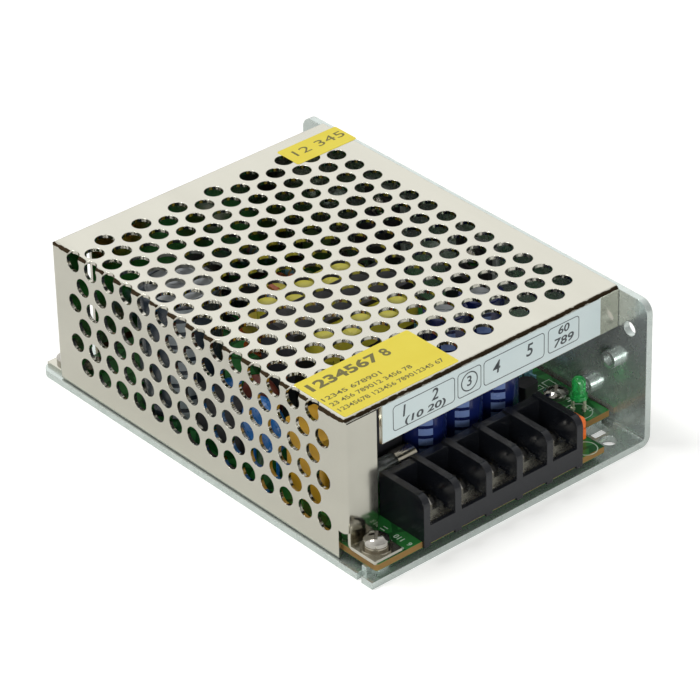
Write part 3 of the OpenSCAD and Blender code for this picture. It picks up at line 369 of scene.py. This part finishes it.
def deselectAll():
    if bpy.context.object and bpy.context.object.mode != "OBJECT":
        bpy.ops.object.mode_set(mode="OBJECT")
    bpy.ops.object.select_all(action="DESELECT")


def pick(piece):
    deselectAll()
    piece.select_set(True)
    bpy.context.view_layer.objects.active = piece


def editAll(piece):  # edit mode with everything selected
    pick(piece)
    bpy.ops.object.mode_set(mode="EDIT")
    bpy.ops.mesh.select_all(action="SELECT")


def selectFaces(piece, test):  # leaves edit mode on, with the faces that pass the test selected
    editAll(piece)
    bpy.ops.mesh.select_all(action="DESELECT")
    bpy.ops.mesh.select_mode(type="FACE")
    bpy.ops.object.mode_set(mode="OBJECT")
    for face in piece.data.polygons:
        face.select = test(face)
    bpy.ops.object.mode_set(mode="EDIT")


def applyModifier(piece, kind, **settings):
    pick(piece)
    modifier = piece.modifiers.new(kind.lower(), kind)
    for key, value in settings.items():
        setattr(modifier, key, value)
    bpy.ops.object.modifier_apply(modifier=modifier.name)


def joinPieces(parts):
    deselectAll()
    for part in parts:
        part.select_set(True)
    bpy.context.view_layer.objects.active = parts[0]
    if len(parts) > 1:
        bpy.ops.object.join()
    return bpy.context.object


def finishPiece(piece, name, material, body="case", standsFor=(), smooth=None):
    # the place goes into the mesh, and the piece moves with its body
    pick(piece)
    bpy.ops.object.transform_apply(location=True, rotation=True, scale=True)
    if smooth:
        bpy.ops.object.shade_smooth_by_angle(angle=math.radians(smooth))
    piece.name = name
    piece.data.name = name
    piece.data.materials.clear()
    piece.data.materials.append(material)
    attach(piece, body)
    if standsFor:
        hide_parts(*standsFor)
    return piece


turns = {"up": (0, 0, 0), "front": (math.radians(90), 0, 0)}
outward = {"up": Vector((0, 0, 1)), "front": Vector((0, -1, 0))}
inkDepth = 0.02  # mm that a print stands proud
capShare = 0.7  # a capital's height as a share of the type size


def addText(words, capMm, centre, facing, wideMm=None, slant=0.0, heavy=0.0, turn=0.0):
    # a line of type, its middle at centre on the surface it is printed on,
    # drawn out to wideMm where that is given
    deselectAll()
    bpy.ops.object.text_add(location=(Vector(centre) + outward[facing] * inkDepth / 2) * mm,
                            rotation=turns[facing])
    line = bpy.context.object
    line.data.body = words
    line.data.size = capMm * mm / capShare
    line.data.align_x = "CENTER"
    line.data.align_y = "CENTER"
    line.data.extrude = inkDepth * mm / 2
    line.data.shear = slant
    line.data.offset = heavy * mm
    line.data.resolution_u = 4
    bpy.ops.object.convert(target="MESH")
    line = bpy.context.object
    if wideMm:
        span = max(v.co.x for v in line.data.vertices) - min(v.co.x for v in line.data.vertices)
        line.scale = (wideMm * mm / span, 1, 1)
    if turn:
        line.rotation_euler.z += math.radians(turn)
    bpy.ops.object.transform_apply(location=True, rotation=True, scale=True)
    return line


def addOutline(width, height, lineMm, cornerMm, centre, facing, sides=0):
    # a printed line round a rounded box, or round a circle where sides is given
    deselectAll()
    if sides:
        bpy.ops.mesh.primitive_circle_add(vertices=sides, radius=0.5, fill_type="NGON")
    else:
        bpy.ops.mesh.primitive_plane_add(size=1)
    piece = bpy.context.object
    piece.scale = (width * mm, height * mm, 1)
    bpy.ops.object.transform_apply(location=False, rotation=False, scale=True)
    editAll(piece)
    if cornerMm:
        bpy.ops.mesh.bevel(offset=cornerMm * mm, segments=5, affect="VERTICES")
        bpy.ops.mesh.select_all(action="SELECT")
    bpy.ops.mesh.inset(thickness=lineMm * mm)
    bpy.ops.mesh.delete(type="FACE")
    bpy.ops.mesh.select_all(action="SELECT")
    bpy.ops.mesh.extrude_region_move(TRANSFORM_OT_translate={"value": (0, 0, inkDepth * mm)})
    bpy.ops.mesh.select_all(action="SELECT")
    bpy.ops.mesh.normals_make_consistent(inside=False)
    bpy.ops.object.mode_set(mode="OBJECT")
    piece.location = Vector(centre) * mm
    piece.rotation_euler = turns[facing]
    bpy.ops.object.transform_apply(location=True, rotation=True, scale=True)
    return piece


def turned(place, rings, sides=40):
    # a turned shape on a disc at place, drawn up ring by ring; each ring is (radius, height) in mm
    deselectAll()
    start = Vector(place) + Vector((0, 0, rings[0][1]))
    bpy.ops.mesh.primitive_circle_add(vertices=sides, radius=rings[0][0] * mm, fill_type="NGON",
                                      location=start * mm)
    piece = bpy.context.object
    editAll(piece)
    for (radius, height), (nextRadius, nextHeight) in zip(rings, rings[1:]):
        climb = (nextHeight - height) * mm
        bpy.ops.mesh.extrude_region_move(TRANSFORM_OT_translate={"value": (0, 0, climb)})
        ratio = nextRadius / radius
        bpy.ops.transform.resize(value=(ratio, ratio, 1), center_override=Vector(place) * mm)
    bpy.ops.mesh.select_all(action="SELECT")
    bpy.ops.mesh.normals_make_consistent(inside=False)
    bpy.ops.object.mode_set(mode="OBJECT")
    return piece


# printed film below the front edge: boxed plain numbers over the terminals
labelPrint = {"line": 0.18, "corner": 0.9, "low": 27.9, "high": 33.9,
              "frames": ((-25.5, -8.75), (-0.9, 16.06), (17.02, 25.89), (-8.05, -1.55)),
              "slant": 0.12, "heavy": 0.05,
              "marks": (("1", -22.6, 31.6, 2.7, None), ("2", -14.2, 31.9, 2.7, None),
                        ("(10 20)", -16.9, 29.2, 1.5, 11.0), ("4", 2.6, 31.0, 2.9, None),
                        ("5", 11.8, 31.2, 2.9, None), ("60", 21.4, 32.3, 1.8, 3.2),
                        ("789", 21.4, 29.6, 1.9, 5.6)),  # words, x, z, cap height, width
              "ring": (-4.8, 31.0, 4.6), "ringLine": 0.28, "ringMark": ("3", 2.3, 0.04)}


def makeLabelPrint(look):
    face = labelLow.y
    tall, rise = look["high"] - look["low"], (look["low"] + look["high"]) / 2
    parts = []
    for left, right in look["frames"]:
        middle = ((left + right) / 2, face, rise)
        parts.append(addOutline(right - left, tall, look["line"], look["corner"], middle, "front"))
    x, z, across = look["ring"]
    parts.append(addOutline(across, across, look["ringLine"], 0, (x, face, z), "front", 32))
    mark, cap, heavy = look["ringMark"]
    parts.append(addText(mark, cap, (x, face, z), "front", None, 0.0, heavy))
    for words, middle, height, cap, wide in look["marks"]:
        parts.append(addText(words, cap, (middle, face, height), "front", wide, look["slant"], look["heavy"]))
    finishPiece(joinPieces(parts), "labelMarks", inkFinish)


makeLabelPrint(labelPrint)
print("label printed")

# yellow paper stickers on the roof, each with lines of plain numbers: words, cap height, place, width, weight
stickers = {"thick": 0.08, "corner": 0.5, "edge": 0.05, "press": 0.02,
            "front_sticker": (("1234567", 2.7, (-27.1, -33.0), 18.4, 0.13),
                              ("8", 2.7, (-15.4, -33.0), None, 0.1),
                              ("12345 678901", 1.25, (-28.7, -38.0), 15.4, 0.02),
                              ("23 456 789012 3456 78", 1.25, (-25.6, -40.4), 21.4, 0.02),
                              ("12345678 123456 789012345 67", 1.25, (-22.6, -42.9), 27.8, 0.02)),
            "rear_sticker": (("12 345", 2.5, (30.2, 41.4), 14.0, 0.0),)}


def makeSticker(node, look):
    low, high = [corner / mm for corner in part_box(node)]
    deselectAll()
    bpy.ops.mesh.primitive_plane_add(size=1, location=((low + high) / 2 * mm)[:2] + (low.z * mm,))
    piece = bpy.context.object
    piece.scale = ((high.x - low.x) * mm, (high.y - low.y) * mm, 1)
    bpy.ops.object.transform_apply(location=False, rotation=False, scale=True)
    editAll(piece)
    bpy.ops.mesh.bevel(offset=look["corner"] * mm, segments=4, affect="VERTICES")
    bpy.ops.mesh.select_all(action="SELECT")
    rise = (look["thick"] - look["press"]) * mm
    bpy.ops.mesh.extrude_region_move(TRANSFORM_OT_translate={"value": (0, 0, rise)})
    # the cut edge is pressed down a little
    bpy.ops.mesh.inset(thickness=look["edge"] * mm, depth=look["press"] * mm)
    bpy.ops.mesh.select_all(action="SELECT")
    bpy.ops.mesh.normals_make_consistent(inside=False)
    bpy.ops.object.mode_set(mode="OBJECT")
    paperName = "frontSticker" if "front" in node else "rearSticker"
    finishPiece(piece, paperName, stickerFinish, "case", (node,))
    lines = [addText(words, cap, (x, y, low.z + look["thick"]), "up", wide, 0.0, heavy)
             for words, cap, (x, y), wide, heavy in look[node]]
    finishPiece(joinPieces(lines), paperName + "Print", paperInk)


for node in ("front_sticker", "rear_sticker"):
    makeSticker(node, stickers)
print("stickers laid")

# white legend on the board: plain numbers with their height, place and turn, and outlines and rings
boardLegend = {"line": 0.2, "heavy": 0.04,
               "numbers": (("19", 1.3, (29.4, -31.7), 0), ("3", 1.3, (32.0, -31.7), 0),
                           ("20", 1.3, (30.6, -34.6), 0), ("14", 1.2, (29.9, -37.9), 0),
                           ("16", 1.3, (33.2, -36.2), 90), ("5", 1.2, (27.6, -52.4), 90),
                           ("2", 1.3, (26.9, -40.0), 90), ("12", 1.2, (34.0, -42.0), 90),
                           ("7", 1.2, (-29.5, -49.6), 90), ("8", 1.2, (-29.5, -53.2), 90),
                           ("110", 1.3, (-27.3, -50.2), 90), ("6", 1.2, (-27.2, -53.2), 90),
                           ("11", 1.3, (-27.4, -45.6), 0), ("4", 1.2, (20.8, -40.2), 0)),
               "boxes": ((2.2, 4.6, (34.4, -29.8)), (3.4, 1.5, (30.9, -28.6))),
               "rings": ((6.2, (31.5, -41.0)), (5.2, (22.9, -52.2)))}


def makeBoardLegend(look):
    parts = [addText(words, cap, (x, y, boardTop), "up", None, 0.0, look["heavy"], turn)
             for words, cap, (x, y), turn in look["numbers"]]
    for width, depth, (x, y) in look["boxes"]:
        parts.append(addOutline(width, depth, look["line"], 0, (x, y, boardTop), "up"))
    for across, (x, y) in look["rings"]:
        parts.append(addOutline(across, across, look["line"], 0, (x, y, boardTop), "up", 32))
    finishPiece(joinPieces(parts), "boardLegend", whiteInk)


makeBoardLegend(boardLegend)
print("board printed")

# electrolytic capacitors: a shrunk sleeve over a beaded can, with a scored vent in its top
cans = {"groove": 0.07, "rim": 0.8, "foot": 0.35, "stripeTurn": 236, "stripeWidth": 38, "stripeThick": 0.03,
        "bead": ((0, 1.5), (0.75, 1.95), (1, 2.2), (0.75, 2.45), (0, 2.9)),  # share of the groove, height
        "topDrop": 0.45, "top": ((0.05, 0), (0.05, 0.2), (0.3, 0.28), (0.7, 0.2)),  # inside the lip, height
        "score": (1.5, 0.28, 0.24), "scoreDrop": 0.2,  # the score's length in lips, then its width and depth
        "kinds": (("short", 3, "short_output_capacitors", blueSleeve, blueStripe, "blue_sleeve"),
                  ("tall", 2, "tall_output_capacitors", blueSleeve, blueStripe, "blue_sleeve"),
                  ("bulk", 1, "reservoir_capacitor", greySleeve, greyStripe, "grey_sleeve"))}


def makeCan(place, radius, height, names, materials, node, look):
    groove = radius * look["groove"]
    lip = radius * look["rim"]
    foot = look["foot"]
    rings = [(radius - foot, 0), (radius, foot)]
    rings += [(radius - groove * share, z) for share, z in look["bead"]]
    rings += [(radius, height - groove), (radius - groove * 0.3, height - groove * 0.3),
              (radius - groove, height), (lip + 0.1, height), (lip, height - 0.1), (lip - 0.02, height - 0.4)]
    sleeve = turned(place, rings)
    turn = math.radians(look["stripeTurn"])
    toward = Vector((math.cos(turn), math.sin(turn), 0))
    wide = math.cos(math.radians(look["stripeWidth"] / 2))
    middle = Vector(place) * mm

    def onStripe(face):  # a face of the side wall that looks towards the stripe's turn
        spot = sleeve.matrix_world @ face.center - middle
        flat = Vector((spot.x, spot.y, 0))
        outside = flat.length > 0.8 * radius * mm and spot.z < (height - groove) * mm
        return outside and flat.normalized().dot(toward) > wide

    selectFaces(sleeve, onStripe)
    bpy.ops.mesh.duplicate()
    bpy.ops.mesh.separate(type="SELECTED")
    bpy.ops.object.mode_set(mode="OBJECT")
    stripe = next(one for one in bpy.context.selected_objects if one != sleeve)
    applyModifier(stripe, "SOLIDIFY", thickness=look["stripeThick"] * mm, offset=1.0)
    top = turned((place[0], place[1], place[2] + height - look["topDrop"]),
                 [(lip - inside, z) for inside, z in look["top"]])
    long, wideScore, deep = look["score"]
    for angle in (45, 135):  # the vent is scored with a cross
        bpy.ops.mesh.primitive_cube_add(
            size=1, rotation=(0, 0, math.radians(angle)),
            location=(place[0] * mm, place[1] * mm, (place[2] + height - look["scoreDrop"]) * mm),
            scale=(long * lip * mm, wideScore * mm, deep * mm))
        cutter = bpy.context.object
        applyModifier(top, "BOOLEAN", object=cutter, operation="DIFFERENCE", solver="EXACT")
        bpy.data.objects.remove(cutter)
    finishPiece(sleeve, names[0], materials[0], "case", (node,), 35)
    finishPiece(stripe, names[1], materials[1], "case", (), 35)
    finishPiece(top, names[2], canTopFinish, "case")


def makeCans(look):
    for kind, count, node, material, stripe, slotName in look["kinds"]:
        low, high = [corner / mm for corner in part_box(node)]
        radius = (high.y - low.y) / 2
        step = (high.x - low.x - 2 * radius) / max(1, count - 1)
        for k in range(count):
            place = (low.x + radius + k * step, (low.y + high.y) / 2, low.z)
            names = ["%sCan%s%d" % (kind, part, k + 1) for part in ("Sleeve", "Stripe", "Top")]
            makeCan(place, radius, high.z - low.z, names, (material, stripe),
                    node, look)


makeCans(cans)
print("capacitors made")

# tapped collars in the wall: a helical thread lines each bore
wallThreads = {"places": ((-45.5, 18.0), (-38.6, 8.4), (45.5, 18.0)), "wall": 1.6, "bore": 1.25,
               "sunk": 0.06, "depth": 0.2, "pitch": 0.5, "start": -1.75, "turns": 6, "steps": 24}


def makeThreads(look):
    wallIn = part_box("chassis")[1].x / mm - look["wall"]
    for k, (y, z) in enumerate(look["places"]):
        deselectAll()
        start = (wallIn + look["start"]) * mm
        bpy.ops.mesh.primitive_circle_add(vertices=3, radius=look["depth"] * mm, fill_type="NOTHING",
                                          location=(start, y * mm, (z + look["bore"] + look["sunk"]) * mm),
                                          rotation=(math.radians(90), 0, 0))
        ridge = bpy.context.object
        bpy.ops.object.transform_apply(location=False, rotation=True, scale=True)
        centre = bpy.data.objects.new("boreCentre", None)
        bpy.context.scene.collection.objects.link(centre)
        centre.location = (start, y * mm, z * mm)
        applyModifier(ridge, "SCREW", object=centre, axis="X", screw_offset=look["pitch"] * mm,
                      iterations=look["turns"], steps=look["steps"], render_steps=look["steps"],
                      use_merge_vertices=True)
        bpy.data.objects.remove(centre)
        editAll(ridge)
        bpy.ops.mesh.edge_face_add()
        bpy.ops.mesh.select_all(action="SELECT")
        bpy.ops.mesh.normals_make_consistent(inside=False)
        bpy.ops.object.mode_set(mode="OBJECT")
        finishPiece(ridge, "collarThread%d" % (k + 1), chassisFinish, "case", (), 40)


makeThreads(wallThreads)
print("collars tapped")

# the lamp's lead frame, which shows through the green lens: a cup on one lead and a post on the other,
# and below the lens its two square leads, each with a stop that holds the lamp off the board
lampFrame = {"cup": 0.62, "cupHigh": 1.5, "post": (0.5, 0.9, 1.9), "rise": 0.25, "inLens": (0.62, 0.4),
             "apart": (0.95, -0.8), "lead": 0.5, "stop": 0.16, "stopFrom": 0.55, "stopHigh": 0.5,
             "slope": 0.1}


def makeLampFrame(look):
    low, high = [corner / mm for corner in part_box("lamp_body")]
    middle = (low + high) / 2
    floorZ = low.z + look["rise"]
    r, cupHigh = look["cup"], look["cupHigh"]
    aside, along = look["inLens"]
    cup = turned((middle.x - aside, middle.y + along, floorZ),
                 [(0.28, 0), (0.28, cupHigh - 0.5), (r, cupHigh), (r - 0.08, cupHigh),
                  (0.25, cupHigh - 0.3)], 20)
    wide, deep, tall = look["post"]
    bpy.ops.mesh.primitive_cube_add(size=1, scale=(wide * mm, deep * mm, tall * mm),
                                    location=((middle.x + aside) * mm, (middle.y - along) * mm,
                                              (floorZ + tall / 2) * mm))
    post = bpy.context.object
    editAll(post)
    bpy.ops.mesh.bevel(offset=0.12 * mm, segments=2)
    bpy.ops.object.mode_set(mode="OBJECT")
    finishPiece(joinPieces([cup, post]), "lampFrame", leadFinish, "case", (), 40)
    leads = []
    for side in (-1, 1):
        x, y = middle.x + side * look["apart"][0], middle.y + side * look["apart"][1]
        deselectAll()
        spot = Vector((x, y, boardTop)) * mm
        bpy.ops.mesh.primitive_plane_add(size=look["lead"] * mm, location=spot)
        lead = bpy.context.object
        editAll(lead)
        wide = 1 + 2 * look["stop"] / look["lead"]
        upper = low.z - boardTop - look["stopFrom"] - look["stopHigh"] - 2 * look["slope"]
        for climb, spread in ((look["stopFrom"], 1), (look["slope"], wide), (look["stopHigh"], 1),
                              (look["slope"], 1 / wide), (upper, 1)):
            bpy.ops.mesh.extrude_region_move(TRANSFORM_OT_translate={"value": (0, 0, climb * mm)})
            bpy.ops.transform.resize(value=(spread, spread, 1), center_override=spot)
        bpy.ops.mesh.select_all(action="SELECT")
        bpy.ops.mesh.normals_make_consistent(inside=False)
        bpy.ops.object.mode_set(mode="OBJECT")
        leads.append(lead)
    finishPiece(joinPieces(leads), "lampLeads", leadFinish, "case", ("lamp_leads",))


makeLampFrame(lampFrame)

# coloured bands on the axial parts: (x, y) of each body, and the bands' places along it
axialBands = {"resistors": ((14, 40), (18, 40), (22, 40), (-10, 40), (-14, 40), (28, 12), (24, 12),
                            (29.7, -21.2), (32.7, -21.2)), "resistorRadius": 1.15, "resistorRise": 1.3,
              "along": (-2.2, -1.1, 0.0, 1.6), "bandWide": 0.5, "proud": 0.005, "thick": 0.04,
              "diodes": ((-6, 40), (0, 40), (24.2, 0)), "diodeRadius": 1.3, "diodeRise": 1.5,
              "diodeAlong": 1.8, "diodeBandWide": 0.7}


def addBand(x, y, z, radius, wide, look):
    deselectAll()
    bpy.ops.mesh.primitive_cylinder_add(vertices=24, radius=(radius + look["proud"]) * mm, depth=wide * mm,
                                        end_fill_type="NOTHING", location=(x * mm, y * mm, z * mm),
                                        rotation=(math.radians(90), 0, 0))
    band = bpy.context.object
    applyModifier(band, "SOLIDIFY", thickness=look["thick"] * mm, offset=1.0)
    return band


def makeBands(look):
    z = boardTop + look["resistorRise"]
    for k, along in enumerate(look["along"]):
        bands = [addBand(x, y + along, z, look["resistorRadius"], look["bandWide"], look)
                 for x, y in look["resistors"]]
        finishPiece(joinPieces(bands), "resistorBand%d" % (k + 1), bandFinishes[k],
                    "case", (), 40)
    z = boardTop + look["diodeRise"]
    bands = [addBand(x, y + look["diodeAlong"], z, look["diodeRadius"], look["diodeBandWide"], look)
             for x, y in look["diodes"]]
    finishPiece(joinPieces(bands), "diodeBands", bandSilver, "case", (), 40)


makeBands(axialBands)
print("small parts banded")

# the fuse's wire, slack between its caps
fuseWire = {"radius": 0.12, "sag": 0.5, "inCap": 1.5, "pull": 0.6}


def makeFuseWire(look):
    low, high = [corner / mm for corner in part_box("fuse_caps")]
    middle = (low + high) / 2
    deselectAll()
    bpy.ops.curve.primitive_bezier_curve_add(location=middle * mm)
    wire = bpy.context.object
    wire.data.dimensions = "3D"
    wire.data.bevel_depth = look["radius"] * mm
    wire.data.bevel_resolution = 2
    wire.data.resolution_u = 10
    wire.data.use_fill_caps = True
    half = ((high.x - low.x) / 2 - look["inCap"]) * mm
    pull, sag = half * look["pull"], look["sag"] * mm
    for point, side in zip(wire.data.splines[0].bezier_points, (-1, 1)):
        point.handle_left_type = point.handle_right_type = "FREE"
        point.co = (side * half, 0, 0)
        point.handle_left = (side * half - pull, 0, -sag * (side > 0))
        point.handle_right = (side * half + pull, 0, -sag * (side < 0))
    bpy.ops.object.convert(target="MESH")
    finishPiece(bpy.context.object, "fuseWire", capFinish, "case", (), 40)


makeFuseWire(fuseWire)

# the transformer's outer tape: each turn of the roll ends in a lap, and its edges stand a little proud
tapeLap = {"thick": 0.06, "lap": 0.42, "edge": 0.7, "from": 2.0, "clear": 0.005}


def makeTapeLap(look):
    low, high = [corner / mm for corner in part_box("transformer_winding")]
    width, height = (high.x - low.x) * look["lap"], high.z - low.z - 2 * look["edge"]
    deselectAll()
    bpy.ops.mesh.primitive_plane_add(size=1, rotation=turns["front"],
                                     location=((low.x + width / 2 + look["from"]) * mm,
                                               (low.y - look["clear"]) * mm, (low.z + high.z) / 2 * mm))
    tape = bpy.context.object
    tape.scale = (width * mm, height * mm, 1)
    bpy.ops.object.transform_apply(location=False, rotation=False, scale=True)
    editAll(tape)
    bpy.ops.mesh.subdivide(number_cuts=6)
    bpy.ops.mesh.select_all(action="SELECT")
    bpy.ops.mesh.extrude_region_move(TRANSFORM_OT_translate={"value": (0, -look["thick"] * mm, 0)})
    bpy.ops.mesh.select_all(action="SELECT")
    bpy.ops.mesh.normals_make_consistent(inside=False)
    bpy.ops.object.mode_set(mode="OBJECT")
    finishPiece(tape, "tapeLap", tapeFinish)


makeTapeLap(tapeLap)
print("lamp, fuse and transformer finished")

studio = {"floor": "#e8e8e6", "floorSize": 6.0, "glow": 0.45, "glowInGloss": 0.12,
          "world": "#ffffff", "worldLight": 0.5, "worldSeen": 1.0, "frontSide": 0.45,
          "aim": (0, 0, 0.02),  # metres, as are the lamps' places and sizes; their power is in watts
          "lamps": (("keyLight", (-0.25, 0.35, 1.1), 0.35, 5.6), ("fillLight", (-0.6, -1.0, 0.22), 0.5, 6.5),
                    ("backPanel", (0.66, 0.78, 0.65), 0.8, 0.6))}


def seenBy(material, plain, gloss, light):
    # a strength for what the camera and glass show, one for what a reflection shows,
    # and one for light on things
    path = addNode(material, "ShaderNodeLightPath")
    direct = addNode(material, "ShaderNodeMath", {"operation": "MAXIMUM"},
                     {0: path.outputs["Is Camera Ray"], 1: path.outputs["Is Transmission Ray"]})
    inGloss = addNode(material, "ShaderNodeMix", {"data_type": "FLOAT"},
                      {"Factor": path.outputs["Is Glossy Ray"], "A": light, "B": gloss})
    shown = addNode(material, "ShaderNodeMix", {"data_type": "FLOAT"},
                    {"Factor": direct.outputs["Value"], "A": inGloss.outputs["Result"], "B": plain})
    return shown.outputs["Result"]


def makeStudio(look):
    deselectAll()
    bpy.ops.mesh.primitive_plane_add(size=look["floorSize"], location=(0, 0, 0))
    floor = bpy.context.object
    floor.name = "studioFloor"
    material, shader = startMaterial("paleFloor", look["floor"], Roughness=0.9)
    shader.inputs["Emission Color"].default_value = toLinear(look["floor"])
    glow = seenBy(material, look["glow"], look["glowInGloss"], 0.0)
    material.node_tree.links.new(glow, shader.inputs["Emission Strength"])
    floor.data.materials.append(material)
    world = bpy.data.worlds.new("softStudio")
    world.use_nodes = True
    bpy.context.scene.world = world
    background = world.node_tree.nodes["Background"]
    background.inputs["Color"].default_value = toLinear(look["world"])
    coords = addNode(world, "ShaderNodeTexCoord")
    toward = addNode(world, "ShaderNodeSeparateXYZ", None, {"Vector": coords.outputs["Generated"]})
    # the room is dimmer in front of the object than behind it
    room = addNode(world, "ShaderNodeMapRange", None,
                   {"Value": toward.outputs["Y"], "From Min": -0.6, "From Max": 0.35,
                    "To Min": look["frontSide"], "To Max": look["worldSeen"]})
    strength = seenBy(world, look["worldSeen"], room.outputs["Result"], look["worldLight"])
    world.node_tree.links.new(strength, background.inputs["Strength"])
    for name, place, size, power in look["lamps"]:
        bpy.ops.object.light_add(type="AREA", location=place)
        lamp = bpy.context.object
        lamp.name = name
        lamp.data.size = size
        lamp.data.energy = power
        lamp.rotation_euler = (Vector(place) - Vector(look["aim"])).to_track_quat("Z", "Y").to_euler()


makeStudio(studio)
bpy.context.scene.view_settings.view_transform = "Standard"
print("studio lit")
